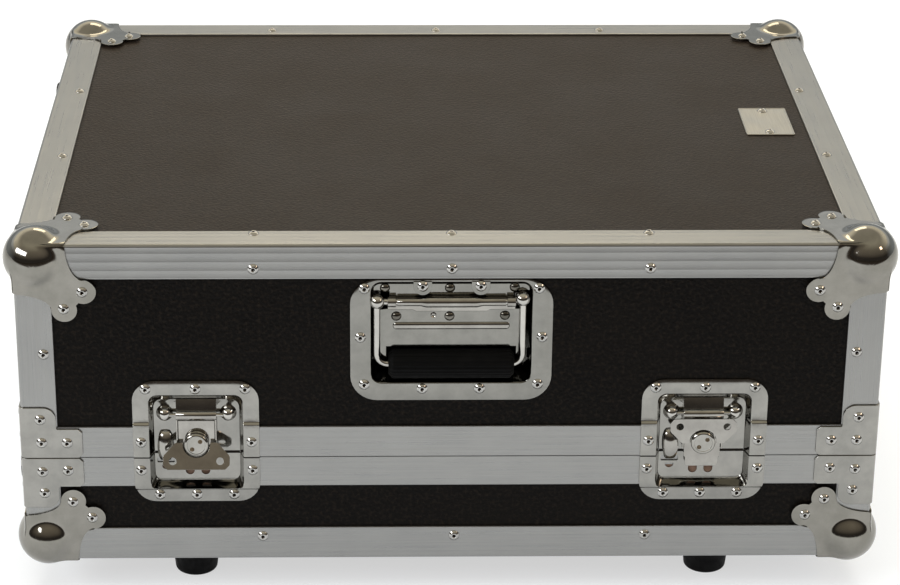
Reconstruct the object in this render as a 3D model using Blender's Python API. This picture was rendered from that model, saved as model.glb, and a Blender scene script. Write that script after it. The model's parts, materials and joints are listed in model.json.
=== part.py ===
"""Mixer flight case: a lift-off lid and a shallow base of laminated plywood, edged with ribbed
aluminium angle, with ball corners, seam braces, a sprung front handle and two butterfly latches.

Metres, +Z up. The front, with the handle and the latches, faces -Y. Everything is built in a case
frame whose origin is the middle of the underside of the rails, and an empty then moves it so
that the finished part stands on z = 0 with its bounding box centred."""

import math

import bmesh
import bpy
from mathutils import Matrix, Vector

# Overall sizes, over the aluminium rails
CASE_WIDTH = 0.706
CASE_DEPTH = 0.560
LID_HEIGHT = 0.190
BASE_HEIGHT = 0.096

# Aluminium extrusions
RAIL_LEG = 0.030
RAIL_WALL = 0.0016
RAIL_ROUND = 0.0025
RAIL_GROOVES = 3
GROOVE_WIDTH = 0.0011
GROOVE_DEPTH = 0.0004
LID_SEAM_LEG = 0.028
BASE_SEAM_LEG = 0.027
SEAM_GROOVES = 4
SEAM_WEB = 0.0064
SEAM_LIP = 0.014
LIP_WALL = 0.0011
TONGUE_START = 0.0040
TONGUE_WIDTH = 0.0032
TONGUE_HEIGHT = 0.0042
TONGUE_PLAY = 0.0006

# Plywood boards and foam
BOARD = 0.009
FOAM_WALL = 0.012
FOAM_FLAT = 0.020

# Clearance between touching pieces, and the thickness of the pressed steel fittings
GAP = 0.0003
FITTING = 0.0012

# Ball corners
BALL_RADIUS = 0.0257
BALL_PROUD = 0.0092
BALL_SHEET = 0.0015
CORNER_ARM = 0.0425
LOBE_LONG = 0.0555
LOBE_SHORT = 0.0405
LOBE_RADIUS = 0.010
LOBE_END = math.radians(120)

# Braces over the seam at the four upright edges
BRACE_HEIGHT = 0.046
BRACE_REACH = 0.050
BRACE_STEM = 0.029
BRACE_FOOT = 0.0265
BRACE_ROUND = 0.010
BRACE_NIP = 0.003

# Feet
FOOT_RADIUS = 0.0225
FOOT_TOE = 0.018
FOOT_HEIGHT = 0.038
FOOT_ROUND = 0.003
FOOT_INSETS = {"left": 0.1374, "right": 0.1302}
END_FOOT_RADIUS = 0.016
END_FOOT_PROUD = 0.010
END_FOOT_ROUND = 0.003
END_FOOT_INSET = 0.085

# Name plate on the lid, left bare
PLATE_WIDTH = 0.043
PLATE_LENGTH = 0.068
PLATE_THICK = 0.001
PLATE_ROUND = 0.002
PLATE_INSET = 0.063
PLATE_Y = 0.006

# Handle: flange, dish and hinge
HANDLE_WIDTH = 0.1646
HANDLE_HEIGHT = 0.108
HANDLE_ROUND = 0.022
HANDLE_MOUTH_WIDTH = 0.1306
HANDLE_MOUTH_TOP = 0.0026
HANDLE_MOUTH_BOTTOM = 0.0160
HANDLE_MOUTH_ROUND = 0.008
HANDLE_DEPTH = 0.0141
HANDLE_TAPER = 0.0078
TAB_X = 0.0235
TAB_DROP = 0.006
TAB_RADIUS = 0.0075
HINGE_DROP = 0.0200
HINGE_DEPTH = 0.0012
HINGE_PLATE_DEPTH = 0.0050
HINGE_PLATE_HEIGHT = 0.0585
HINGE_PLATE_PLAY = 0.0013
HINGE_PLATE_TAPER = 0.0185
HINGE_PLATE_ROUND = 0.007
HINGE_NOTCH = 0.0064
KNUCKLE_RADIUS = 0.0044
KNUCKLE_HALF = 0.024
END_KNUCKLE_LENGTH = 0.007
END_KNUCKLE_PLAY = 0.0012

# Bail and grip
BAIL_RADIUS = 0.0028
BAIL_SIDE_PLAY = 0.0070
BAIL_BEND = 0.009
BAIL_END_X = 0.006
BAIL_KNOB = 0.0055
BAIL_ELBOW = 0.0034
GRIP_DROP = 0.0550
GRIP_RADIUS = 0.0122
GRIP_ROUND = 0.003

# Latches
LATCH_INSET = 0.1436
LATCH_WIDTH = 0.104
LATCH_RISE = 0.0693
LATCH_FALL = 0.0414
LATCH_ROUND = 0.018
MOUTH_WIDTH = 0.077
MOUTH_RISE = 0.056
MOUTH_FALL = 0.0295
MOUTH_ROUND = 0.0065
DISH_DEPTH = 0.0097
DISH_SHEET = 0.0010
DISH_SIDE_TAPER = 0.0029
DISH_TOP_TAPER = 0.0068
DISH_FALL_TAPER = 0.0031
WALL_THINNING = 0.85
SEAM_SLIT = 0.0006
JOGGLE = 0.0015

# Latch mechanism, measured from the seam and from the face of the rails
PIN_HEIGHT = 0.0362
PIN_DEPTH = 0.0054
PIN_RADIUS = 0.0016
BARREL_RADIUS = 0.0040
BARREL_HALF = 0.0165
BOSS_X = 0.0262
BOSS_HALF_WIDTH = 0.0062
BOSS_HALF_HEIGHT = 0.0066
BOSS_PROUD = 0.0074
BRACKET_SHEET = 0.0012
BRACKET_HALF = 0.0166
BRACKET_FRONT = 0.0034
BRACKET_BACK = 0.0078
BRACKET_LOW = 0.004
HOOK_HALF = 0.0150
HOOK_FRONT = 0.0050
HOOK_SHEET = 0.0012
HOOK_TOP = 0.026
HOOK_LOW = -0.0125
FINGER_X = 0.0065
FINGER_WIDTH = 0.0064
FINGER_CLEAR = 0.0004
KEEPER_WIDTH = 0.0074
KEEPER_TOP = -0.0109
KEEPER_LOW = -0.0210
HUB_HEIGHT = 0.0121
HUB_RADIUS = 0.0100
HUB_FACE = -0.0030
HUB_ROUND = 0.0015
STEM_RADIUS = 0.0040
STEM_PLAY = 0.0005
STEM_END = 0.0082
DRAW = 0.0024
WING_DEPTH = 0.0005
WING_SHEET = 0.0012
WING_HALF = 0.0275
WING_TOP = 0.0211
WING_SHOULDER = 0.0105
WING_NECK = 0.0170
WING_TAIL = -0.0012
WING_ROUND = 0.005
WING_MOUTH = 0.0105
WING_PIN = 0.0006
WING_PIN_PLAY = 0.0003
WING_HOLE_X = 0.0195
WING_HOLE_Z = 0.0141
WING_HOLE_RADIUS = 0.0036
STAPLE_X = -0.0262
STAPLE_HALF_WIDTH = 0.0055
STAPLE_TOP = 0.0205
STAPLE_LOW = 0.0020
STAPLE_SHEET = 0.0012
STAPLE_FRONT = 0.0034

# How the latches stand in the photograph: the right one closed with its wing flat and up,
# the left one let off, leaning out, with its wing down and half unfolded
RIGHT_LEAN = 0.0
RIGHT_UNFOLD = 0.0
LEFT_LEAN = math.radians(5)
LEFT_UNFOLD = math.radians(23)

# Round pieces
ROUND_STEPS = 4
HUB_SIDES = 20
ROD_SIDES = 10

# Worked out from the sizes above
HALF_W = CASE_WIDTH / 2
HALF_D = CASE_DEPTH / 2
CASE_HEIGHT = LID_HEIGHT + BASE_HEIGHT
SEAM = BASE_HEIGHT
HALF_SLIT = GAP / 2 + 0.00005
SKIN = RAIL_WALL + GAP
BALL_IN = BALL_RADIUS - BALL_PROUD
LATCH_X = HALF_W - LATCH_INSET
BAIL_ARM_X = HANDLE_MOUTH_WIDTH / 2 - BAIL_SIDE_PLAY
END_KNUCKLE_OUT = BAIL_ARM_X - BAIL_KNOB - END_KNUCKLE_PLAY
END_KNUCKLE_IN = END_KNUCKLE_OUT - END_KNUCKLE_LENGTH
HINGE_PLATE_TOP = HANDLE_MOUTH_WIDTH / 2 - HINGE_PLATE_PLAY
HINGE_PLATE_FOOT = HINGE_PLATE_TOP - HINGE_PLATE_TAPER
GRIP_LENGTH = 2 * (BAIL_ARM_X - BAIL_BEND)
INNER = SKIN + BOARD
LIP_START = INNER + GAP / 2

MATERIALS = {
    "aluminium": ((0.56, 0.57, 0.58), 0.38, 1.0),
    "laminate": ((0.012, 0.011, 0.011), 0.45, 0.0),
    "steel": ((0.60, 0.60, 0.58), 0.28, 1.0),
    "chrome": ((0.72, 0.72, 0.70), 0.08, 1.0),
    "rubber": ((0.010, 0.010, 0.010), 0.70, 0.0),
    "foam": ((0.030, 0.030, 0.032), 0.95, 0.0),
}


def clear_scene():
    for obj in list(bpy.data.objects):
        bpy.data.objects.remove(obj, do_unlink=True)


def make_materials():
    made = {}
    for name, (colour, roughness, metallic) in MATERIALS.items():
        material = bpy.data.materials.new(name)
        material.use_nodes = True
        shader = material.node_tree.nodes["Principled BSDF"]
        shader.inputs["Base Color"].default_value = (*colour, 1.0)
        shader.inputs["Roughness"].default_value = roughness
        shader.inputs["Metallic"].default_value = metallic
        material.diffuse_color = (*colour, 1.0)
        made[name] = material
    return made


# Groups: an empty on each joint's axis, with the piece's rest attitude


def add_empty(name, location=(0, 0, 0), parent=None, rotation=(0, 0, 0)):
    empty = bpy.data.objects.new(name, None)
    empty.empty_display_size = 0.02
    bpy.context.collection.objects.link(empty)
    empty.parent = parent
    empty.location = location
    empty.rotation_euler = rotation
    return empty


def add_piece(name, bm, material, parent, offset=(0, 0, 0), smooth=False):
    """Closes a bmesh into a named piece under an empty, moved by offset in the empty's frame."""
    bmesh.ops.remove_doubles(bm, verts=bm.verts, dist=1e-7)
    bmesh.ops.recalc_face_normals(bm, faces=bm.faces)
    mesh = bpy.data.meshes.new(name)
    bm.to_mesh(mesh)
    bm.free()
    if smooth:
        mesh.shade_smooth()
        mesh.set_sharp_from_angle(angle=math.radians(35))
    mesh.materials.append(material)
    piece = bpy.data.objects.new(name, mesh)
    bpy.context.collection.objects.link(piece)
    piece.parent = parent
    piece.location = offset
    return piece


def combine(piece, bm, operation, name):
    """Adds a Boolean to a piece, in the piece's own frame, with its tool hidden."""
    tool = add_piece(name, bm, piece.data.materials[0], piece.parent, piece.location)
    tool.hide_render = True
    tool.display_type = "WIRE"
    modifier = piece.modifiers.new(name, "BOOLEAN")
    modifier.operation = operation
    modifier.object = tool
    modifier.solver = "EXACT"


# Shapes


def box(bm, low, high):
    corners = [bm.verts.new((x, y, z)) for z in (low[2], high[2]) for y in (low[1], high[1])
               for x in (low[0], high[0])]
    for face in ((0, 1, 3, 2), (4, 6, 7, 5), (0, 4, 5, 1), (2, 3, 7, 6), (0, 2, 6, 4), (1, 5, 7, 3)):
        bm.faces.new([corners[i] for i in face])


def new_box(low, high):
    bm = bmesh.new()
    box(bm, low, high)
    return bm


def arc(centre, radius, start, end, steps):
    """Points along a circle, both ends included; radius may be a pair for an ellipse."""
    across, up = radius if isinstance(radius, tuple) else (radius, radius)
    angles = [start + (end - start) * k / steps for k in range(steps + 1)]
    return [(centre[0] + across * math.cos(a), centre[1] + up * math.sin(a)) for a in angles]


def rounded_rectangle(left, right, low, high, low_round, high_round, steps=ROUND_STEPS):
    quarter = math.pi / 2
    points = arc((right - low_round, low + low_round), low_round, -quarter, 0, steps)
    points += arc((right - high_round, high - high_round), high_round, 0, quarter, steps)
    points += arc((left + high_round, high - high_round), high_round, quarter, 2 * quarter, steps)
    points += arc((left + low_round, low + low_round), low_round, 2 * quarter, 3 * quarter, steps)
    return points


def loft(bm, loops):
    """Skins equal loops one after another and caps both ends."""
    rings = [[bm.verts.new(point) for point in loop] for loop in loops]
    count = len(rings[0])
    for ring, following in zip(rings, rings[1:]):
        for k in range(count):
            bm.faces.new((ring[k], ring[(k + 1) % count], following[(k + 1) % count], following[k]))
    bm.faces.new(rings[0])
    bm.faces.new(rings[-1])


def prism(bm, outline, low, high, axis="y"):
    """Extrudes an outline along an axis; the outline's two numbers are the other two axes."""
    loops = []
    for level in (low, high):
        if axis == "x":
            loops.append([(level, a, b) for a, b in outline])
        elif axis == "y":
            loops.append([(a, level, b) for a, b in outline])
        else:
            loops.append([(a, b, level) for a, b in outline])
    loft(bm, loops)


def turned(bm, profile, sides, axis="z", centre=(0, 0, 0)):
    """Turns (radius, height) points about an axis; both ends are closed by flat discs."""
    loops = []
    for radius, height in profile:
        loop = []
        for k in range(sides):
            angle = 2 * math.pi * (k + 0.5) / sides
            across, up = radius * math.cos(angle), radius * math.sin(angle)
            point = {"x": (height, across, up), "y": (across, height, up), "z": (across, up, height)}[axis]
            loop.append(tuple(p + c for p, c in zip(point, centre)))
        loops.append(loop)
    loft(bm, loops)


def cylinder(radius, low, high, sides, axis, centre=(0, 0, 0)):
    bm = bmesh.new()
    turned(bm, [(radius, low), (radius, high)], sides, axis, centre)
    return bm


def grooves(leg, count):
    """Middles of the grooves that split a leg into equal bands."""
    return [leg * k / (count + 1) for k in range(1, count + 1)]


def grooved_line(leg, count):
    """A leg's outer face from its free edge to the bend: (distance from the bend, depth)."""
    points = [(leg, 0)]
    for middle in reversed(grooves(leg, count)):
        points += [(middle + GROOVE_WIDTH / 2, 0), (middle, GROOVE_DEPTH), (middle - GROOVE_WIDTH / 2, 0)]
    return points


def angle_section():
    """Ribbed angle with its bend at (0, 0) and both legs running to positive values."""
    leg = grooved_line(RAIL_LEG, RAIL_GROOVES)
    points = [(depth, distance) for distance, depth in leg]
    bend = arc((RAIL_ROUND, RAIL_ROUND), RAIL_ROUND, math.pi, 1.5 * math.pi, 3)
    points += bend
    points += [(distance, depth) for distance, depth in reversed(leg)]
    points += [(RAIL_LEG, RAIL_WALL), (RAIL_WALL, RAIL_WALL), (RAIL_WALL, RAIL_LEG)]
    return points


def seam_section(leg_length, tongue):
    """Seam rail, as (inset, distance from the seam): an outer leg, a web over the board's edge and an
    inner lip. The lid's has the groove, the base's the tongue that stands up into it."""
    leg = grooved_line(leg_length, SEAM_GROOVES)
    points = [(depth, distance) for distance, depth in leg]
    points.append((0, HALF_SLIT))
    if tongue:
        far = TONGUE_START + TONGUE_WIDTH
        points += [(TONGUE_START, HALF_SLIT), (TONGUE_START, -TONGUE_HEIGHT)]
        points += [(far, -TONGUE_HEIGHT), (far, HALF_SLIT)]
    else:
        near, far = TONGUE_START - TONGUE_PLAY, TONGUE_START + TONGUE_WIDTH + TONGUE_PLAY
        top = TONGUE_HEIGHT + TONGUE_PLAY
        points += [(near, HALF_SLIT), (near, top), (far, top), (far, HALF_SLIT)]
    back = LIP_START + LIP_WALL
    points += [(back, HALF_SLIT), (back, SEAM_LIP), (LIP_START, SEAM_LIP), (LIP_START, SEAM_WEB)]
    points += [(RAIL_WALL, SEAM_WEB), (RAIL_WALL, leg_length)]
    return points


def mitred_ring(bm, section):
    """Carries a section of (inset, height) round the case, mitred at the four corners."""
    loops = []
    for sx, sy in ((1, 1), (-1, 1), (-1, -1), (1, -1)):
        loops.append([bm.verts.new((sx * (HALF_W - i), sy * (HALF_D - i), z)) for i, z in section])
    count = len(section)
    for loop, following in zip(loops, loops[1:] + loops[:1]):
        for k in range(count):
            bm.faces.new((loop[k], loop[(k + 1) % count], following[(k + 1) % count], following[k]))


def post(bm, sx, sy, low, high):
    outline = [(sx * (HALF_W - a), sy * (HALF_D - b)) for a, b in angle_section()]
    prism(bm, outline, low, high, "z")


# Trimmed corners: the rails and boards stop short inside each ball


def trim_reach():
    return math.sqrt(3) * (BALL_RADIUS - BALL_SHEET) - 2 * GAP


def corner_trimmer(level, up):
    """Four wedges that take off the corners of a frame or board at one level."""
    reach = trim_reach()
    back = BALL_RADIUS
    wedge = [(reach + 2 * back, -back, -back), (-back, reach + 2 * back, -back),
             (-back, -back, reach + 2 * back), (reach, reach, reach)]
    bm = bmesh.new()
    for sx in (1, -1):
        for sy in (1, -1):
            points = [bm.verts.new((sx * (HALF_W - BALL_IN + x), sy * (HALF_D - BALL_IN + y),
                                    level - up * (BALL_IN - z))) for x, y, z in wedge]
            for face in ((0, 1, 2), (0, 3, 1), (1, 3, 2), (2, 3, 0)):
                bm.faces.new([points[i] for i in face])
    return bm


# Boards and rails


def front_holes(part):
    """Cutouts in the front board: one for each latch dish, and the lid's for the handle."""
    bm = bmesh.new()
    side = MOUTH_WIDTH / 2 + DISH_SHEET + GAP
    for sign in (1, -1):
        if part == "lid":
            low, high = SEAM - BOARD, SEAM + MOUTH_RISE + DISH_SHEET + GAP
        else:
            low, high = SEAM - MOUTH_FALL - DISH_SHEET - GAP, SEAM + BOARD
        box(bm, (sign * LATCH_X - side, -HALF_D - BOARD, low),
            (sign * LATCH_X + side, -HALF_D + INNER + GAP, high))
    if part == "lid":
        half = HANDLE_MOUTH_WIDTH / 2 + FITTING + GAP
        low, high = handle_mouth()
        box(bm, (-half, -HALF_D - BOARD, low - FITTING - GAP),
            (half, -HALF_D + INNER + GAP, high + FITTING + GAP))
    return bm


def latch_gaps():
    """Where the latch dishes pass through the outer leg and the web of the seam rails."""
    bm = bmesh.new()
    side = MOUTH_WIDTH / 2 + DISH_SHEET + GAP
    for sign in (1, -1):
        box(bm, (sign * LATCH_X - side, -HALF_D - BOARD, SEAM - RAIL_LEG - BOARD),
            (sign * LATCH_X + side, -HALF_D + DISH_DEPTH + DISH_SHEET + GAP / 2, SEAM + RAIL_LEG + BOARD))
    return bm


def build_boards(material, lid, base):
    """Ten plywood boards: the flats lap over the walls, and the end walls stand between the long ones."""
    half_x, half_y = HALF_W - SKIN, HALF_D - SKIN
    levels = {
        "lid": (lid, CASE_HEIGHT, 1, SEAM + SEAM_WEB + GAP, CASE_HEIGHT - INNER - GAP),
        "base": (base, 0.0, -1, INNER + GAP, SEAM - SEAM_WEB - GAP),
    }
    for part, (parent, face, up, low, high) in levels.items():
        outer, inner = face - up * SKIN, face - up * INNER
        flat = new_box((-half_x, -half_y, min(outer, inner)), (half_x, half_y, max(outer, inner)))
        flat_name = "lid_top_panel" if part == "lid" else "base_floor_panel"
        board = add_piece(flat_name, flat, material, parent)
        combine(board, corner_trimmer(face, up), "DIFFERENCE", part + "_panel_trim")
        plain = new_box((-half_x, -half_y, low), (half_x, -half_y + BOARD, high))
        front = add_piece(part + "_front_panel", plain, material, parent)
        combine(front, front_holes(part), "DIFFERENCE", part + "_front_holes")
        add_piece(part + "_back_panel", new_box((-half_x, half_y - BOARD, low), (half_x, half_y, high)),
                  material, parent)
        end = half_y - BOARD - GAP
        for side, sx in (("left", -1), ("right", 1)):
            xs = sorted((sx * half_x, sx * (half_x - BOARD)))
            wall = new_box((xs[0], -end, low), (xs[1], end, high))
            add_piece(f"{part}_{side}_panel", wall, material, parent)


def build_rails(material, lid, base):
    top = bmesh.new()
    mitred_ring(top, [(a, CASE_HEIGHT - b) for a, b in angle_section()])
    frame = add_piece("lid_top_frame", top, material, lid)
    combine(frame, corner_trimmer(CASE_HEIGHT, 1), "DIFFERENCE", "lid_frame_trim")
    for side, sy in (("front", -1), ("back", 1)):
        for end, sx in (("left", -1), ("right", 1)):
            bm = bmesh.new()
            post(bm, sx, sy, SEAM + LID_SEAM_LEG + GAP, CASE_HEIGHT - RAIL_LEG - GAP)
            add_piece(f"lid_post_{side}_{end}", bm, material, lid)
    bottom = bmesh.new()
    mitred_ring(bottom, angle_section())
    frame = add_piece("base_edge_frame", bottom, material, base)
    combine(frame, corner_trimmer(0.0, -1), "DIFFERENCE", "base_frame_trim")
    posts = bmesh.new()
    for sx in (1, -1):
        for sy in (1, -1):
            post(posts, sx, sy, RAIL_LEG - RAIL_WALL, SEAM - BASE_SEAM_LEG - GAP)
    combine(frame, posts, "UNION", "base_posts")
    seams = (("lid_seam_frame", lid, LID_SEAM_LEG, 1), ("base_seam_frame", base, BASE_SEAM_LEG, -1))
    for name, parent, leg, up in seams:
        bm = bmesh.new()
        mitred_ring(bm, [(a, SEAM + up * b) for a, b in seam_section(leg, up < 0)])
        rail = add_piece(name, bm, material, parent)
        combine(rail, latch_gaps(), "DIFFERENCE", name + "_latch_gaps")


# Ball corners


def corner_outline():
    """Flange of a ball corner on one face, from the case's corner at (0, 0), mirror-even about the diagonal:
    a straight edge over the rail, a hollow curve, and two round lobes for the rivets."""
    edge = -(GAP + FITTING)
    radii = (LOBE_LONG - CORNER_ARM, LOBE_SHORT - LOBE_RADIUS)
    hollow = arc((LOBE_LONG, 0), radii, math.pi, math.pi / 2, ROUND_STEPS)
    lobe = arc((LOBE_LONG, LOBE_SHORT), LOBE_RADIUS, -math.pi / 2, LOBE_END, 6)
    half = [(CORNER_ARM, edge)] + hollow + lobe[1:]
    return [(edge, edge)] + half + [(b, a) for a, b in reversed(half)]


def corner_core():
    """The case's corner inside a ball corner, relative to the ball's middle."""
    face = BALL_IN + GAP
    slope = trim_reach() + 3 * GAP - 2 * face
    far = -(LOBE_LONG + 2 * LOBE_RADIUS)
    points = {(x, y, z) for x in (far, face) for y in (far, face) for z in (far, face)} - {(face, face, face)}
    points |= {(slope, face, face), (face, slope, face), (face, face, slope)}
    bm = bmesh.new()
    for point in sorted(points):
        bm.verts.new(point)
    bmesh.ops.convex_hull(bm, input=bm.verts)
    return bm


def ball_corner_mesh(material):
    """One ball corner, pointing to +x +y +z from the ball's middle, with its Booleans carried out."""
    ball = bmesh.new()
    bmesh.ops.create_icosphere(ball, subdivisions=2, radius=BALL_RADIUS)
    piece = add_piece("corner_pattern", ball, material, None)
    low, high = BALL_IN + GAP, BALL_IN + GAP + FITTING
    outline = [(BALL_IN - a, BALL_IN - b) for a, b in corner_outline()]
    for axis in "xyz":
        plate = bmesh.new()
        prism(plate, outline, low, high, axis)
        combine(piece, plate, "UNION", "corner_plate_" + axis)
    combine(piece, corner_core(), "DIFFERENCE", "corner_core")
    bpy.context.view_layer.update()
    mesh = bpy.data.meshes.new_from_object(piece.evaluated_get(bpy.context.evaluated_depsgraph_get()))
    for obj in [piece] + [modifier.object for modifier in piece.modifiers]:
        bpy.data.objects.remove(obj, do_unlink=True)
    return mesh


def build_ball_corners(material, lid, base):
    pattern = ball_corner_mesh(material)
    for part, parent, level, up in (("lid", lid, CASE_HEIGHT, 1), ("base", base, 0.0, -1)):
        for side, sy in (("front", -1), ("back", 1)):
            for end, sx in (("left", -1), ("right", 1)):
                bm = bmesh.new()
                bm.from_mesh(pattern)
                bmesh.ops.scale(bm, vec=(sx, sy, up), verts=bm.verts)
                middle = (sx * (HALF_W - BALL_IN), sy * (HALF_D - BALL_IN), level - up * BALL_IN)
                add_piece(f"{part}_ball_corner_{side}_{end}", bm, material, parent, middle, smooth=True)
    bpy.data.meshes.remove(pattern)


# Braces


def brace_outline():
    """Half of a brace laid flat, as (distance from the upright edge, distance from the seam)."""
    middle = (BRACE_STEM - BRACE_ROUND, BRACE_HEIGHT - BRACE_ROUND)
    stem_round = arc(middle, BRACE_ROUND, 0, math.pi / 2, ROUND_STEPS)
    low = GAP
    nipped = BRACE_REACH - BRACE_NIP
    half = [(nipped, low), (BRACE_REACH, low + BRACE_NIP), (BRACE_REACH, BRACE_FOOT - BRACE_NIP)]
    half += [(nipped, BRACE_FOOT), (BRACE_STEM, BRACE_FOOT)] + stem_round
    return half


def brace(bm, sx, sy, up):
    """Folds a flat brace over an upright edge of the case."""
    half = brace_outline()
    outline = [(0, GAP)] + half + [(0, BRACE_HEIGHT)] + [(-a, b) for a, b in reversed(half)]
    middle = len(half) + 1
    levels = []
    for out in (GAP, GAP + FITTING):
        loop = []
        for along, height in outline:
            x = HALF_W + out if along <= 0 else HALF_W - along
            y = HALF_D + out if along >= 0 else HALF_D + along
            loop.append(bm.verts.new((sx * x, sy * y, SEAM + up * height)))
        levels.append(loop)
    inner, outer = levels
    for loop in levels:
        bm.faces.new(loop[:middle + 1])
        bm.faces.new(loop[middle:] + loop[:1])
    for k in range(len(outline)):
        following = (k + 1) % len(outline)
        bm.faces.new((inner[k], inner[following], outer[following], outer[k]))


def build_braces(material, lid, base):
    for part, parent, up in (("lid", lid, 1), ("base", base, -1)):
        for side, sy in (("front", -1), ("back", 1)):
            for end, sx in (("left", -1), ("right", 1)):
                bm = bmesh.new()
                brace(bm, sx, sy, up)
                add_piece(f"{part}_brace_{side}_{end}", bm, material, parent)


# Name plate, feet and foam


def build_name_plate(material, lid):
    bm = bmesh.new()
    outline = rounded_rectangle(-PLATE_WIDTH / 2, PLATE_WIDTH / 2, -PLATE_LENGTH / 2, PLATE_LENGTH / 2,
                                PLATE_ROUND, PLATE_ROUND, 2)
    prism(bm, outline, GAP, GAP + PLATE_THICK, "z")
    add_piece("name_plate", bm, material, lid, (HALF_W - PLATE_INSET, PLATE_Y, CASE_HEIGHT - SKIN))


def build_feet(material, lid, base):
    foot_y = HALF_D - RAIL_LEG - FOOT_RADIUS - 2 * GAP
    drop = SKIN - GAP
    toe = FOOT_HEIGHT - drop
    quarter = arc((FOOT_TOE - FOOT_ROUND, -toe + FOOT_ROUND), FOOT_ROUND, 0, -math.pi / 2, 2)
    profile = [(FOOT_RADIUS, drop)] + quarter
    for side, sy in (("front", -1), ("back", 1)):
        for end, sx in (("left", -1), ("right", 1)):
            foot_x = HALF_W - FOOT_INSETS[end]
            bm = bmesh.new()
            turned(bm, profile, HUB_SIDES, "z")
            add_piece(f"foot_{side}_{end}", bm, material, base, (sx * foot_x, sy * foot_y, 0), smooth=True)
    middle = (END_FOOT_RADIUS - END_FOOT_ROUND, -END_FOOT_PROUD + END_FOOT_ROUND)
    shoulder = arc(middle, END_FOOT_ROUND, 0, -math.pi / 2, 2)
    profile = [(END_FOOT_RADIUS, SKIN - GAP)] + shoulder
    lid_level = CASE_HEIGHT - RAIL_LEG - END_FOOT_RADIUS - 2 * GAP
    base_level = (RAIL_LEG + SEAM - BASE_SEAM_LEG) / 2
    for part, parent, level in (("lid", lid, lid_level), ("base", base, base_level)):
        for side, sy in (("front", -1), ("back", 1)):
            bm = bmesh.new()
            turned(bm, profile, HUB_SIDES, "x")
            add_piece(f"{part}_end_foot_{side}", bm, material, parent,
                      (-HALF_W, sy * (HALF_D - END_FOOT_INSET), level), smooth=True)


def build_foam(material, lid, base):
    """A tray of foam in each half, open at the seam; the lid's has a pocket for the handle's dish."""
    out_x, out_y = HALF_W - INNER - GAP, HALF_D - INNER - GAP
    in_x, in_y = out_x - FOAM_WALL, out_y - FOAM_WALL
    lip = SEAM_LIP + GAP
    for part, parent, face, up in (("lid", lid, CASE_HEIGHT, 1), ("base", base, 0.0, -1)):
        back = face - up * (INNER + GAP)
        flat = back - up * FOAM_FLAT
        mouth = SEAM + up * lip
        loops = []
        for half_x, half_y, level in ((in_x, in_y, flat), (in_x, in_y, mouth), (out_x, out_y, mouth),
                                      (out_x, out_y, back)):
            around = ((-1, -1), (1, -1), (1, 1), (-1, 1))
            loops.append([(sx * half_x, sy * half_y, level) for sx, sy in around])
        bm = bmesh.new()
        loft(bm, loops)
        foam = add_piece(part + "_foam", bm, material, parent)
        if part == "lid":
            half = HANDLE_MOUTH_WIDTH / 2 + FITTING + GAP
            low, high = handle_mouth()
            pocket = new_box((-half, -HALF_D, low - FITTING - GAP),
                             (half, -HALF_D + HANDLE_DEPTH + SKIN + FITTING + GAP, high + FITTING + GAP))
            combine(foam, pocket, "DIFFERENCE", "handle_pocket")


# Handle


def handle_top():
    return CASE_HEIGHT - RAIL_LEG - 2 * GAP


def handle_mouth():
    top = handle_top()
    return top - HANDLE_HEIGHT + HANDLE_MOUTH_BOTTOM, top - HANDLE_MOUTH_TOP


def hinge_level():
    return handle_top() - HINGE_DROP


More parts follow.
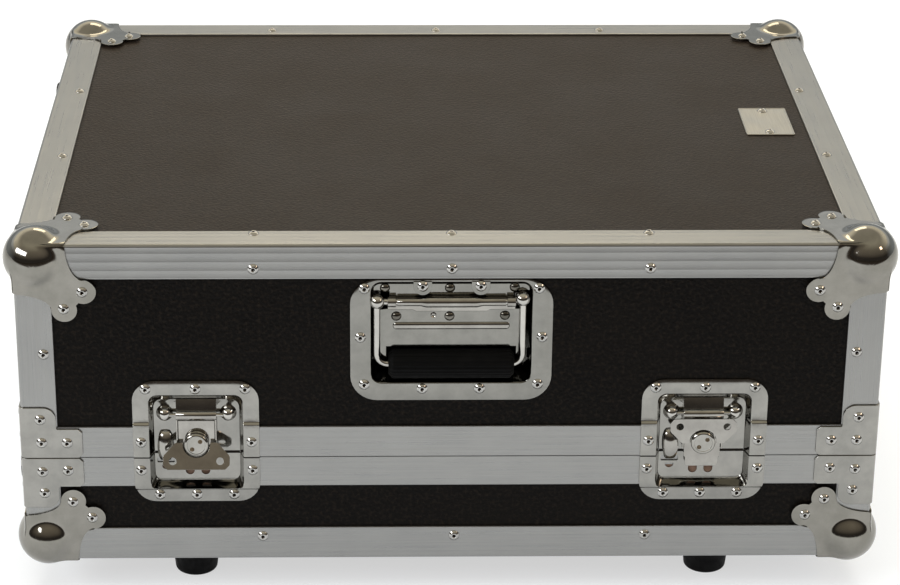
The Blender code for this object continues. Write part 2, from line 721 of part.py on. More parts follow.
def build_handle(steel, chrome, rubber, lid):
    """Dish with its hinge plate and knuckles, relative to the rails' face, y running inward."""
    top = handle_top()
    low, high = handle_mouth()
    half, mouth = HANDLE_WIDTH / 2, HANDLE_MOUTH_WIDTH / 2
    back = SKIN - GAP
    front = back - FITTING
    floor = front + HANDLE_DEPTH
    edge = rounded_rectangle(-half, half, top - HANDLE_HEIGHT, top, HANDLE_ROUND, HANDLE_ROUND)
    lip = rounded_rectangle(-mouth, mouth, low, high, HANDLE_MOUTH_ROUND, HANDLE_MOUTH_ROUND)
    bed_half, bed_low, bed_high = mouth - HANDLE_TAPER, low + HANDLE_TAPER, high - FITTING
    bed = rounded_rectangle(-bed_half, bed_half, bed_low, bed_high, HANDLE_MOUTH_ROUND, HANDLE_MOUTH_ROUND)
    wide = FITTING * WALL_THINNING
    turn = HANDLE_MOUTH_ROUND + wide
    lip_out = rounded_rectangle(-mouth - wide, mouth + wide, low - wide, high + wide, turn, turn)
    bed_half += wide
    bed_out = rounded_rectangle(-bed_half, bed_half, bed_low - wide, bed_high + wide, turn, turn)
    bm = bmesh.new()
    levels = ((bed, floor), (lip, front), (edge, front), (edge, back), (lip_out, back),
              (bed_out, floor + FITTING))
    loft(bm, [[(x, y, z) for x, z in loop] for loop, y in levels])
    offset = (0, -HALF_D, 0)
    dish = add_piece("handle_dish", bm, steel, lid, offset, smooth=True)

    pin_z = hinge_level()
    for name, x in (("handle_tab_left", -TAB_X), ("handle_tab_right", TAB_X)):
        outline = arc((x, top - TAB_DROP), TAB_RADIUS, math.pi, 2 * math.pi, 8)
        outline += [(x + TAB_RADIUS, top - TAB_DROP / 4), (x - TAB_RADIUS, top - TAB_DROP / 4)]
        tab = bmesh.new()
        prism(tab, outline, front + GAP / 4, back - GAP / 4)
        combine(dish, tab, "UNION", name)
    side = [(HINGE_PLATE_FOOT, high - HINGE_PLATE_HEIGHT), (END_KNUCKLE_OUT, pin_z - HINGE_NOTCH),
            (END_KNUCKLE_OUT, pin_z + HINGE_NOTCH), (HINGE_PLATE_TOP, pin_z + HINGE_NOTCH + FITTING),
            (HINGE_PLATE_TOP, high - HINGE_PLATE_ROUND),
            (HINGE_PLATE_TOP - HINGE_PLATE_ROUND, high + FITTING / 4)]
    plate = bmesh.new()
    prism(plate, side + [(-x, z) for x, z in reversed(side)], HINGE_PLATE_DEPTH, HINGE_PLATE_DEPTH + FITTING)
    combine(dish, plate, "UNION", "hinge_plate")
    knuckles = bmesh.new()
    spans = ((-END_KNUCKLE_OUT, -END_KNUCKLE_IN), (-KNUCKLE_HALF, KNUCKLE_HALF),
             (END_KNUCKLE_IN, END_KNUCKLE_OUT))
    for start, end in spans:
        profile = [(KNUCKLE_RADIUS, start), (KNUCKLE_RADIUS, end)]
        turned(knuckles, profile, ROD_SIDES, "x", (0, HINGE_DEPTH, pin_z))
    combine(dish, knuckles, "UNION", "hinge_knuckles")
    webs = bmesh.new()
    for start, end in spans:
        box(webs, (start + GAP, HINGE_DEPTH, pin_z - FITTING),
            (end - GAP, HINGE_PLATE_DEPTH + FITTING / 2, pin_z + FITTING))
    combine(dish, webs, "UNION", "hinge_webs")
    reach = END_KNUCKLE_OUT + BOARD
    bore = cylinder(BAIL_RADIUS + GAP, -reach, reach, ROD_SIDES, "x", (0, HINGE_DEPTH, pin_z))
    combine(dish, bore, "DIFFERENCE", "hinge_bore")

    fold = add_empty("handle_fold", (0, -HALF_D + HINGE_DEPTH, pin_z), lid)
    bail = add_piece("handle_bail", bail_rod(), chrome, fold, smooth=True)
    knobs = bmesh.new()
    for x in (-BAIL_ARM_X, BAIL_ARM_X):
        place = Matrix.Translation((x, 0, 0))
        bmesh.ops.create_icosphere(knobs, subdivisions=2, radius=BAIL_KNOB, matrix=place)
    combine(bail, knobs, "UNION", "bail_knobs")
    half = GRIP_LENGTH / 2
    rim, barrel = GRIP_RADIUS - GRIP_ROUND, half - GRIP_ROUND
    profile = [(rim, -half), (GRIP_RADIUS, -barrel), (GRIP_RADIUS, barrel), (rim, half)]
    grip_mesh = bmesh.new()
    turned(grip_mesh, profile, HUB_SIDES, "x")
    grip = add_piece("handle_grip", grip_mesh, rubber, fold, (0, 0, -GRIP_DROP), smooth=True)
    combine(grip, cylinder(BAIL_RADIUS + GAP, -half - GRIP_ROUND, half + GRIP_ROUND, ROD_SIDES, "x"),
            "DIFFERENCE", "grip_bore")


def bail_rod():
    """One rod from inside the middle knuckle, round both arms and through the grip."""
    quarter = math.pi / 2
    side = [(BAIL_END_X, 0)]
    side += arc((BAIL_ARM_X - BAIL_ELBOW, -BAIL_ELBOW), BAIL_ELBOW, quarter, 0, 3)
    side += arc((BAIL_ARM_X - BAIL_BEND, -GRIP_DROP + BAIL_BEND), BAIL_BEND, 0, -quarter, ROUND_STEPS)
    path = side + [(-x, z) for x, z in reversed(side)]
    loops = []
    for k, (x, z) in enumerate(path):
        before, after = path[max(k - 1, 0)], path[min(k + 1, len(path) - 1)]
        along = Vector((after[0] - before[0], 0, after[1] - before[1])).normalized()
        across = along.cross(Vector((0, 1, 0)))
        loop = []
        for n in range(ROD_SIDES):
            angle = 2 * math.pi * n / ROD_SIDES
            out = math.cos(angle) * across + Vector((0, math.sin(angle), 0))
            loop.append(tuple(Vector((x, 0, z)) + BAIL_RADIUS * out))
        loops.append(loop)
    bm = bmesh.new()
    loft(bm, loops)
    return bm


# Latches


def dish_mesh(upper):
    """Half of a latch's pressed dish, relative to the seam and the rails' face. The flange steps back from
    the seam rail onto the board."""
    half, mouth = LATCH_WIDTH / 2, MOUTH_WIDTH / 2
    bed = mouth - DISH_SIDE_TAPER
    back = -GAP
    front = back - FITTING
    wide = DISH_SHEET * WALL_THINNING
    turn = MOUTH_ROUND + wide
    low, high = -MOUTH_FALL, MOUTH_RISE
    bed_low, bed_high = low + DISH_FALL_TAPER, high - DISH_TOP_TAPER
    edge = rounded_rectangle(-half, half, -LATCH_FALL, LATCH_RISE, LATCH_ROUND, LATCH_ROUND)
    lip = rounded_rectangle(-mouth, mouth, low, high, MOUTH_ROUND, MOUTH_ROUND)
    floor = rounded_rectangle(-bed, bed, bed_low, bed_high, MOUTH_ROUND, MOUTH_ROUND)
    lip_out = rounded_rectangle(-mouth - wide, mouth + wide, low - wide, high + wide, turn, turn)
    floor_out = rounded_rectangle(-bed - wide, bed + wide, bed_low - wide, bed_high + wide, turn, turn)
    levels = ((floor, DISH_DEPTH), (lip, front), (edge, front), (edge, back), (lip_out, back),
              (floor_out, DISH_DEPTH + DISH_SHEET))
    bm = bmesh.new()
    loft(bm, [[(x, y, z) for x, z in loop] for loop, y in levels])
    up = 1 if upper else -1
    step = LID_SEAM_LEG if upper else BASE_SEAM_LEG
    near, far = step + JOGGLE, step + 2 * JOGGLE + SKIN / 2
    for level in (near, far):
        geometry = bm.verts[:] + bm.edges[:] + bm.faces[:]
        bmesh.ops.bisect_plane(bm, geom=geometry, dist=1e-7, plane_co=(0, 0, up * level), plane_no=(0, 0, up))
    for vert in bm.verts:
        if up * vert.co.z > (near + far) / 2 and vert.co.y < DISH_DEPTH / 2:
            vert.co.y += SKIN
    geometry = bm.verts[:] + bm.edges[:] + bm.faces[:]
    cut = bmesh.ops.bisect_plane(bm, geom=geometry, dist=1e-7, plane_co=(0, 0, up * SEAM_SLIT),
                                 plane_no=(0, 0, -up), clear_outer=True)
    edges = [e for e in cut["geom_cut"] if isinstance(e, bmesh.types.BMEdge)]
    bmesh.ops.contextual_create(bm, geom=edges)
    return bm


def boss_mesh():
    """Two domes pressed out of the floor, one at each end of the pin."""
    bm = bmesh.new()
    root = DISH_SHEET * 0.6
    steps = [math.pi / 2 * k / 4 for k in range(4)]
    for x in (-BOSS_X, BOSS_X):
        levels = [(1, DISH_DEPTH + root)]
        levels += [(math.cos(a), DISH_DEPTH - BOSS_PROUD * math.sin(a)) for a in steps]
        loops = []
        for size, depth in levels:
            radii = (size * BOSS_HALF_WIDTH, size * BOSS_HALF_HEIGHT)
            oval = arc((x, PIN_HEIGHT), radii, 0, 2 * math.pi, 12)[:-1]
            loops.append([(u, depth, w) for u, w in oval])
        loft(bm, loops)
    return bm


def staple_mesh():
    """Strap bow that a padlock's shackle passes through, standing on the upper floor."""
    middle, half = (STAPLE_TOP + STAPLE_LOW) / 2, (STAPLE_TOP - STAPLE_LOW) / 2
    deep = DISH_DEPTH - STAPLE_FRONT
    outer = arc((DISH_DEPTH, middle), (deep, half), math.pi / 2, 1.5 * math.pi, 8)
    radii = (deep - STAPLE_SHEET, half - STAPLE_SHEET)
    inner = arc((DISH_DEPTH, middle), radii, 1.5 * math.pi, math.pi / 2, 8)
    root = DISH_DEPTH + DISH_SHEET / 2
    outline = [(root, middle + half)] + outer + [(root, middle - half), (root, middle - half + STAPLE_SHEET)]
    outline += inner + [(root, middle + half - STAPLE_SHEET)]
    bm = bmesh.new()
    prism(bm, outline, STAPLE_X - STAPLE_HALF_WIDTH, STAPLE_X + STAPLE_HALF_WIDTH, "x")
    return bm


def bracket_mesh():
    """Swinging bracket relative to the pin: a barrel on the pin and a channel below it."""
    front, back = BRACKET_FRONT - PIN_DEPTH, BRACKET_BACK - PIN_DEPTH
    low = BRACKET_LOW - PIN_HEIGHT
    inner = back - BRACKET_SHEET
    side = BRACKET_HALF - BRACKET_SHEET
    section = [(-BRACKET_HALF, front), (-side, front), (-side, inner), (side, inner), (side, front),
               (BRACKET_HALF, front), (BRACKET_HALF, back), (-BRACKET_HALF, back)]
    bm = bmesh.new()
    prism(bm, section, low, -BARREL_RADIUS * 0.6, "z")
    return bm


def hook_mesh():
    """Hook plate relative to the pin: a flat plate in the channel with two fingers turned in at its foot."""
    front, back = HOOK_FRONT - PIN_DEPTH, HOOK_FRONT + HOOK_SHEET - PIN_DEPTH
    low, high = HOOK_LOW - PIN_HEIGHT, HOOK_TOP - PIN_HEIGHT
    bm = bmesh.new()
    box(bm, (-HOOK_HALF, front, low), (HOOK_HALF, back, high))
    return bm


def finger_mesh():
    low = HOOK_LOW - PIN_HEIGHT
    tip = DISH_DEPTH - FINGER_CLEAR - PIN_DEPTH
    bm = bmesh.new()
    for x in (-FINGER_X, FINGER_X):
        box(bm, (x - FINGER_WIDTH / 2, HOOK_FRONT + HOOK_SHEET / 2 - PIN_DEPTH, low + GAP / 4),
            (x + FINGER_WIDTH / 2, tip, low + HOOK_SHEET))
    return bm


def hub_mesh():
    """Hub relative to its axis and the rails' face: a round knob with a stem through the hook plate."""
    base = HOOK_FRONT - GAP
    bm = bmesh.new()
    nose = arc((HUB_RADIUS - HUB_ROUND, HUB_FACE + HUB_ROUND), HUB_ROUND, 0, -math.pi / 2, 2)
    profile = [(STEM_RADIUS, STEM_END), (STEM_RADIUS, base), (HUB_RADIUS, base)] + nose
    turned(bm, profile, HUB_SIDES, "y")
    return bm


def wing_mesh(turn):
    """Butterfly wing relative to its fold axis, with its free edge towards turn (1 up, -1 down)."""
    start = math.asin(-WING_TAIL / WING_MOUTH)
    mouth = arc((0, 0), WING_MOUTH, -start, math.pi + start, 10)
    shoulder = arc((WING_HALF - WING_ROUND, WING_TOP - WING_ROUND), WING_ROUND, 0, math.pi / 2, 3)
    side = [(WING_NECK, WING_TAIL), (WING_HALF, WING_SHOULDER)] + shoulder
    outline = side + [(-x, z) for x, z in reversed(side)] + list(reversed(mouth))
    bm = bmesh.new()
    prism(bm, [(x, turn * z) for x, z in outline], -WING_SHEET / 2, WING_SHEET / 2, "y")
    return bm


def build_latch(side, sign, lean, unfold, turn, materials, lid, base):
    steel, chrome = materials["steel"], materials["chrome"]
    corner = Vector((sign * LATCH_X, -HALF_D, SEAM))
    name = "latch_" + side
    upper = add_piece(name + "_upper_dish", dish_mesh(True), steel, lid, corner)
    combine(upper, boss_mesh(), "UNION", name + "_bosses")
    pin = cylinder(PIN_RADIUS, -BOSS_X, BOSS_X, 8, "x", (0, PIN_DEPTH, PIN_HEIGHT))
    combine(upper, pin, "UNION", name + "_pin")
    combine(upper, staple_mesh(), "UNION", name + "_staple")
    lower = add_piece(name + "_lower_dish", dish_mesh(False), steel, base, corner)
    keepers = bmesh.new()
    round_end = KEEPER_WIDTH / 2
    for x in (-FINGER_X, FINGER_X):
        outline = [(x + round_end, KEEPER_TOP), (x - round_end, KEEPER_TOP)]
        outline += arc((x, KEEPER_LOW + round_end), round_end, math.pi, 2 * math.pi, 6)
        prism(keepers, outline, DISH_DEPTH - GAP, DISH_DEPTH + DISH_SHEET + GAP, "y")
    combine(lower, keepers, "DIFFERENCE", name + "_keepers")

    swing = add_empty(name + "_swing", corner + Vector((0, PIN_DEPTH, PIN_HEIGHT)), lid, (-lean, 0, 0))
    bracket = add_piece(name + "_bracket", bracket_mesh(), steel, swing)
    barrel = cylinder(BARREL_RADIUS, -BARREL_HALF, BARREL_HALF, HUB_SIDES // 2, "x")
    combine(bracket, barrel, "UNION", name + "_barrel")
    bore = cylinder(PIN_RADIUS + GAP, -BARREL_HALF - BOARD, BARREL_HALF + BOARD, 8, "x")
    combine(bracket, bore, "DIFFERENCE", name + "_bore")
    play = STEM_RADIUS + STEM_PLAY
    hub_z = HUB_HEIGHT - PIN_HEIGHT
    slot = arc((0, hub_z - DRAW), play, math.pi, 2 * math.pi, 6) + arc((0, hub_z), play, 0, math.pi, 6)
    cutter = bmesh.new()
    prism(cutter, slot, BRACKET_BACK - BRACKET_SHEET - GAP - PIN_DEPTH, BRACKET_BACK + GAP - PIN_DEPTH)
    combine(bracket, cutter, "DIFFERENCE", name + "_stem_slot")

    slide = add_empty(name + "_draw", (0, 0, 0), swing)
    hook = add_piece(name + "_hook", hook_mesh(), steel, slide)
    combine(hook, finger_mesh(), "UNION", name + "_fingers")
    front = HOOK_FRONT - PIN_DEPTH
    hole = cylinder(play, front - GAP, front + HOOK_SHEET + GAP, 12, "y", (0, 0, hub_z))
    combine(hook, hole, "DIFFERENCE", name + "_stem_hole")

    axis = add_empty(name + "_turn", (0, -PIN_DEPTH, hub_z), slide)
    hub = add_piece(name + "_hub", hub_mesh(), chrome, axis, smooth=True)
    reach = WING_MOUTH + WING_PIN
    bore = cylinder(WING_PIN + WING_PIN_PLAY, -reach, reach, 8, "x", (0, WING_DEPTH, 0))
    combine(hub, bore, "DIFFERENCE", name + "_wing_bore")
    fold = add_empty(name + "_fold", (0, WING_DEPTH, 0), axis, (turn * unfold, 0, 0))
    wing = add_piece(name + "_wing", wing_mesh(turn), steel, fold)
    holes = bmesh.new()
    for x in (-WING_HOLE_X, WING_HOLE_X):
        turned(holes, [(WING_HOLE_RADIUS, -WING_SHEET), (WING_HOLE_RADIUS, WING_SHEET)], 12, "y",
               (x, 0, turn * WING_HOLE_Z))
    combine(wing, holes, "DIFFERENCE", name + "_wing_holes")
    combine(wing, cylinder(WING_PIN, -reach, reach, 8, "x"), "UNION", name + "_wing_pin")


def stand_on_origin(root):
    """Moves the part so that it stands on z = 0 with its bounding box centred over the origin."""
    bpy.context.view_layer.update()
    graph = bpy.context.evaluated_depsgraph_get()
    points = []
    for obj in bpy.context.scene.objects:
        if obj.type == "MESH" and not obj.hide_render:
            solid = obj.evaluated_get(graph)
            points += [solid.matrix_world @ vert.co for vert in solid.data.vertices]
    low = Vector(min(point[k] for point in points) for k in range(3))
    high = Vector(max(point[k] for point in points) for k in range(3))
    root.location = -Vector(((low.x + high.x) / 2, (low.y + high.y) / 2, low.z))
    bpy.context.view_layer.update()
    print("size", [round(v, 5) for v in high - low])
    print("case frame moved by", [round(v, 6) for v in root.location])
    for obj in bpy.context.scene.objects:
        if obj.type == "EMPTY":
            print(obj.name, [round(v, 6) for v in obj.matrix_world.translation])


def build():
    clear_scene()
    materials = make_materials()
    root = add_empty("case")
    base = add_empty("base", (0, 0, 0), root)
    lid = add_empty("lid_lift", (0, 0, 0), root)
    build_boards(materials["laminate"], lid, base)
    build_rails(materials["aluminium"], lid, base)
    build_ball_corners(materials["chrome"], lid, base)
    build_braces(materials["steel"], lid, base)
    build_name_plate(materials["aluminium"], lid)
    build_feet(materials["rubber"], lid, base)
    build_foam(materials["foam"], lid, base)
    build_handle(materials["steel"], materials["chrome"], materials["rubber"], lid)
    build_latch("left", -1, LEFT_LEAN, LEFT_UNFOLD, -1, materials, lid, base)
    build_latch("right", 1, RIGHT_LEAN, RIGHT_UNFOLD, 1, materials, lid, base)
    stand_on_origin(root)


build()
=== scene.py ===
# %% [markdown]
# # A mixer flight case
#
# A road case for a mixer has a deep lid that lifts off a shallow base. Both are boxes of black
# laminated plywood, and every edge is held by a rail of ribbed aluminium. Pressed steel fittings
# are riveted over the rails: ball corners, braces over the seam, a sprung handle and two
# butterfly latches. This file dresses a plain solid model of the case with fine pieces and
# finishes. It starts by loading that model, which also says where everything belongs.

# %% Load the frame
import json
import math

import bmesh
import bpy
from mathutils import Matrix, Vector


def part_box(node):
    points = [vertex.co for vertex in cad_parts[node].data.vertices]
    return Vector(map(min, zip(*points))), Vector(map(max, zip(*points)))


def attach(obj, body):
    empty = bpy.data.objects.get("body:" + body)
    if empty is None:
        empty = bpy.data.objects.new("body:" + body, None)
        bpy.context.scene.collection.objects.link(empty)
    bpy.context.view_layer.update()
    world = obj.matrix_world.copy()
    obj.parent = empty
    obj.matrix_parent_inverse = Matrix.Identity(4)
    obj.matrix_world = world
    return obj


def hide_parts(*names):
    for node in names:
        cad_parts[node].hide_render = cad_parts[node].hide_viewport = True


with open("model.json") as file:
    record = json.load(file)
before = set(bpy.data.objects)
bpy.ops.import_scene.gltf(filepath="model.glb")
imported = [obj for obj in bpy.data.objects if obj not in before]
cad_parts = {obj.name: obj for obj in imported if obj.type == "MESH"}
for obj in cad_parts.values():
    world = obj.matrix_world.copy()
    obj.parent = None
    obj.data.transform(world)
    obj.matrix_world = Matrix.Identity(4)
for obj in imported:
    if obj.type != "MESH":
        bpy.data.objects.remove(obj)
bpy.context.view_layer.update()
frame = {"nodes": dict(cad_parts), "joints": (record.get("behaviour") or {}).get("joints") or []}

joints = {joint["name"]: joint for joint in frame["joints"]}
print("joints:", ", ".join(joints))

# %% [markdown]
# ## Where the case stands
#
# Everything below is placed from the faces of the rails, because the real fittings are riveted
# to them. Their positions could be typed in, but then they would drift when the solid model
# changes, so they are measured on the frame that was loaded.

# %% Measure the rails
LEFT, FRONT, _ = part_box("lid_top_frame")[0]
RIGHT, BACK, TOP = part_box("lid_top_frame")[1]
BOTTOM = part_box("base_edge_frame")[0].z
HALF_SLIT = 0.0002
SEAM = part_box("lid_seam_frame")[0].z - HALF_SLIT
MIDDLE = (LEFT + RIGHT) / 2
GAP = 0.0003
SHEET = 0.0012
WALL = 0.0016
SKIN = WALL + GAP
PROUD = GAP + SHEET
BOARD = 0.009
RAIL = 0.030
LID_LEG, BASE_LEG = 0.028, 0.027
print("rails: x", round(LEFT, 4), round(RIGHT, 4), "y", round(FRONT, 4), round(BACK, 4),
      "z", round(BOTTOM, 4), round(SEAM, 4), round(TOP, 4))

# %% [markdown]
# ## Camera
#
# The photograph was taken with a long lens from in front, looking down by 24 degrees. A camera
# can be aimed with a constraint, but here its three axes are worked out from yaw, pitch and
# roll and put into its matrix, which keeps the numbers that were fitted to the case's edges.

# %% Place the camera
def view_axes(yaw, pitch, roll):
    ahead = Vector((math.sin(yaw) * math.cos(pitch), math.cos(yaw) * math.cos(pitch), -math.sin(pitch)))
    level = Vector((math.cos(yaw), -math.sin(yaw), 0))
    down = ahead.cross(level)
    right = math.cos(roll) * level + math.sin(roll) * down
    return right, right.cross(ahead), -ahead


EYE = Vector((-0.0702, -2.3489, 1.1917))
YAW, PITCH, ROLL = 1.24, 23.58, -0.35
axes = view_axes(math.radians(YAW), math.radians(PITCH), math.radians(ROLL))
lens = bpy.data.cameras.new("camera")
lens.sensor_width = 36
lens.lens = 112.144
lens.shift_x, lens.shift_y = 0.0342, -0.0093
lens.clip_end = 100
camera = bpy.data.objects.new("camera", lens)
bpy.context.collection.objects.link(camera)
camera.matrix_world = Matrix.Translation(EYE) @ Matrix(axes).transposed().to_4x4()
bpy.context.scene.camera = camera
bpy.context.scene.view_settings.view_transform = "Standard"
print("camera at", [round(v, 3) for v in EYE])

# %% [markdown]
# ## Shapes in mesh code
#
# The pieces are made of a few kinds of shape: outlines with round corners, skins stretched over
# rows of equal loops, and turned forms. Blender has operators for them, but they depend on what
# is selected. The functions below work on a bmesh, so they do the same thing every time.

# %% Outlines
def arc(centre, radius, start, end, steps):
    """Points along a circle or ellipse between two angles in degrees, both ends included."""
    across, up = radius if isinstance(radius, tuple) else (radius, radius)
    angles = [math.radians(start + (end - start) * k / steps) for k in range(steps + 1)]
    return [(centre[0] + across * math.cos(a), centre[1] + up * math.sin(a)) for a in angles]


def rounded(left, right, low, high, turn, steps=8):
    """A rectangle with round corners; turn is one radius, or a pair for the low and high corners."""
    low_turn, high_turn = turn if isinstance(turn, tuple) else (turn, turn)
    points = arc((right - low_turn, low + low_turn), low_turn, -90, 0, steps)
    points += arc((right - high_turn, high - high_turn), high_turn, 0, 90, steps)
    points += arc((left + high_turn, high - high_turn), high_turn, 90, 180, steps)
    return points + arc((left + low_turn, low + low_turn), low_turn, 180, 270, steps)


def mirrored(half, middle=0.0):
    """A whole outline from its right half."""
    return [(middle + a, b) for a, b in half] + [(middle - a, b) for a, b in reversed(half)]


# %% Solids
def skin(bm, loops, ends=True):
    """Stretches faces over equal loops, and closes both ends."""
    rings = [[bm.verts.new(point) for point in loop] for loop in loops]
    count = len(rings[0])
    made = []
    for ring, following in zip(rings, rings[1:]):
        for k in range(count):
            n = (k + 1) % count
            made.append(bm.faces.new((ring[k], ring[n], following[n], following[k])))
    if ends:
        made += [bm.faces.new(rings[0]), bm.faces.new(rings[-1])]
    return made


def prism(bm, outline, low, high, axis="y"):
    """Extrudes an outline; its two numbers are the other two axes."""
    place = {"x": lambda a, b, c: (c, a, b), "y": lambda a, b, c: (a, c, b), "z": lambda a, b, c: (a, b, c)}
    return skin(bm, [[place[axis](a, b, level) for a, b in outline] for level in (low, high)])


def turned(bm, profile, sides=32, place=Matrix()):
    """Turns (radius, height) points about the z axis of a matrix."""
    loops = []
    for radius, height in profile:
        angles = [2 * math.pi * k / sides for k in range(sides)]
        loops.append([place @ Vector((radius * math.cos(a), radius * math.sin(a), height)) for a in angles])
    return skin(bm, loops)


def facing(point, direction):
    """A matrix at a point whose z axis looks along a direction."""
    turn = Vector(direction).to_track_quat("Z", "Y").to_matrix().to_4x4()
    return Matrix.Translation(point) @ turn


def slice_at(bm, point, normal, **more):
    """Cuts every face of a bmesh along a plane."""
    everything = bm.verts[:] + bm.edges[:] + bm.faces[:]
    return bmesh.ops.bisect_plane(bm, geom=everything, dist=1e-7, plane_co=point, plane_no=normal, **more)


AHEAD, UP, DOWN = (0, -1, 0), (0, 0, 1), (0, 0, -1)

# %% [markdown]
# Each finished bmesh becomes an object that rides on a body of the frame, takes its finish from
# a named slot, and may stand for one or more plain nodes. Pressed and cut metal has no knife
# edges, so a piece can ask for a small bevel, which is what catches the light.

# %% Turn a bmesh into a piece
def round_edges(piece, width, angle):
    rounding = piece.modifiers.new("edges", "BEVEL")
    rounding.width = width
    rounding.segments = 2
    rounding.limit_method = "ANGLE"
    rounding.angle_limit = math.radians(angle)
    return rounding


def add(name, bm, material, body, nodes=(), bevel=0.0, angle=35):
    bmesh.ops.remove_doubles(bm, verts=bm.verts, dist=1e-6)
    bmesh.ops.recalc_face_normals(bm, faces=bm.faces)
    mesh = bpy.data.meshes.new(name)
    bm.to_mesh(mesh)
    bm.free()
    for entry in material if isinstance(material, tuple) else (material,):
        mesh.materials.append(entry)
    piece = bpy.data.objects.new(name, mesh)
    bpy.context.collection.objects.link(piece)
    mesh.shade_smooth()
    if bevel:
        round_edges(piece, bevel, angle).harden_normals = True
    else:
        mesh.set_sharp_from_angle(angle=math.radians(angle))
    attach(piece, body)
    if nodes:
        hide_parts(*nodes)
    return piece


def carve(piece, bm):
    """Cuts the shapes of a bmesh out of a piece, and keeps the result."""
    mesh = bpy.data.meshes.new("tool")
    bmesh.ops.recalc_face_normals(bm, faces=bm.faces)
    bm.to_mesh(mesh)
    bm.free()
    tool = bpy.data.objects.new("tool", mesh)
    bpy.context.collection.objects.link(tool)
    waiting = [modifier.name for modifier in piece.modifiers]
    for name in waiting:
        piece.modifiers[name].show_viewport = False
    cut = piece.modifiers.new("cut", "BOOLEAN")
    cut.operation = "DIFFERENCE"
    cut.solver = "EXACT"
    cut.object = tool
    bpy.context.view_layer.update()
    shaped = piece.evaluated_get(bpy.context.evaluated_depsgraph_get())
    piece.data = bpy.data.meshes.new_from_object(shaped)
    piece.modifiers.remove(cut)
    for name in waiting:
        piece.modifiers[name].show_viewport = True
    bpy.data.objects.remove(tool)
    piece.data.shade_smooth()
    if not waiting:
        piece.data.set_sharp_from_angle(angle=math.radians(35))
    return piece


# %% [markdown]
# ## Finishes
#
# Real finishes are never one flat value. Each material starts from the Principled shader, and
# a few noise textures vary its colour, its roughness and its height. The textures use Object
# coordinates in metres, so a scale of 400 means grains about 2.5 mm across.

# %% Node helpers
def finish(name, metallic=0.0, specular=0.5):
    made = bpy.data.materials.new(name)
    made.use_nodes = True
    shader = made.node_tree.nodes["Principled BSDF"]
    shader.inputs["Metallic"].default_value = metallic
    shader.inputs["Specular IOR Level"].default_value = specular
    return made, made.node_tree, shader


def noise(tree, scale, stretch=(1, 1, 1), detail=3.0, roughness=0.55):
    """Noise between 0 and 1 in metres, stretched along the axes."""
    where = tree.nodes.new("ShaderNodeTexCoord")
    mapping = tree.nodes.new("ShaderNodeMapping")
    mapping.inputs["Scale"].default_value = stretch
    texture = tree.nodes.new("ShaderNodeTexNoise")
    texture.inputs["Scale"].default_value = scale
    texture.inputs["Detail"].default_value = detail
    texture.inputs["Roughness"].default_value = roughness
    tree.links.new(where.outputs["Object"], mapping.inputs["Vector"])
    tree.links.new(mapping.outputs["Vector"], texture.inputs["Vector"])
    return texture.outputs["Fac"]


def spread(tree, value, low, high, start=0.35, end=0.65):
    """Maps the middle of a noise to the range from low to high."""
    node = tree.nodes.new("ShaderNodeMapRange")
    node.inputs["From Min"].default_value = start
    node.inputs["From Max"].default_value = end
    node.inputs["To Min"].default_value = low
    node.inputs["To Max"].default_value = high
    tree.links.new(value, node.inputs["Value"])
    return node.outputs["Result"]


def two_colours(tree, value, first, second):
    """Two colours, each plain or a socket, mixed by a socket."""
    node = tree.nodes.new("ShaderNodeMix")
    node.data_type = "RGBA"
    for socket, colour in (("A", first), ("B", second)):
        if isinstance(colour, tuple):
            node.inputs[socket].default_value = (*colour, 1)
        else:
            tree.links.new(colour, node.inputs[socket])
    tree.links.new(value, node.inputs["Factor"])
    return node.outputs["Result"]


def coat(tree, shader, colour, gloss):
    tree.links.new(colour, shader.inputs["Base Color"])
    tree.links.new(gloss, shader.inputs["Roughness"])


def bump(tree, shader, height, distance, strength=1.0):
    """Adds a height, in metres, on top of the bumps that the shader has already."""
    node = tree.nodes.new("ShaderNodeBump")
    node.inputs["Strength"].default_value = strength
    node.inputs["Distance"].default_value = distance
    tree.links.new(height, node.inputs["Height"])
    if shader.inputs["Normal"].is_linked:
        tree.links.new(shader.inputs["Normal"].links[0].from_socket, node.inputs["Normal"])
    tree.links.new(node.outputs["Normal"], shader.inputs["Normal"])


# %% [markdown]
# The boards are plywood faced with a thin black laminate, which has a fine pebbled grain that
# hides scratches. It looks black on the upright front and grey-brown on the top, where light
# grazes it. So its colour is nearly black, its gloss is broad, and tiny bumps break it up.

# %% Laminate
laminate, tree, shader = finish("laminate", specular=0.09)
shader.inputs["Sheen Weight"].default_value = 0.18
shader.inputs["Sheen Roughness"].default_value = 0.35
shader.inputs["Sheen Tint"].default_value = (0.82, 0.60, 0.43, 1)
grain = noise(tree, 380, detail=3.0)
cloud = noise(tree, 14, detail=4.0)
speck = spread(tree, noise(tree, 300, detail=3.0), 0, 1, 0.48, 0.70)
black = two_colours(tree, spread(tree, cloud, 0, 1), (0.0012, 0.0010, 0.0009), (0.0030, 0.0025, 0.0021))
worn = two_colours(tree, speck, black, (0.013, 0.0098, 0.0074))
coat(tree, shader, worn, spread(tree, cloud, 0.40, 0.47))
bump(tree, shader, grain, 0.0011, 0.7)
bump(tree, shader, noise(tree, 90, detail=2.0), 0.0004, 0.10)
print("laminate has", len(tree.nodes), "nodes")

# %% [markdown]
# The rails are aluminium pushed through a die, which leaves fine streaks along them. A streak
# is a noise that is stretched along the rail, and a rail can run in three directions, so the
# same recipe makes three materials.

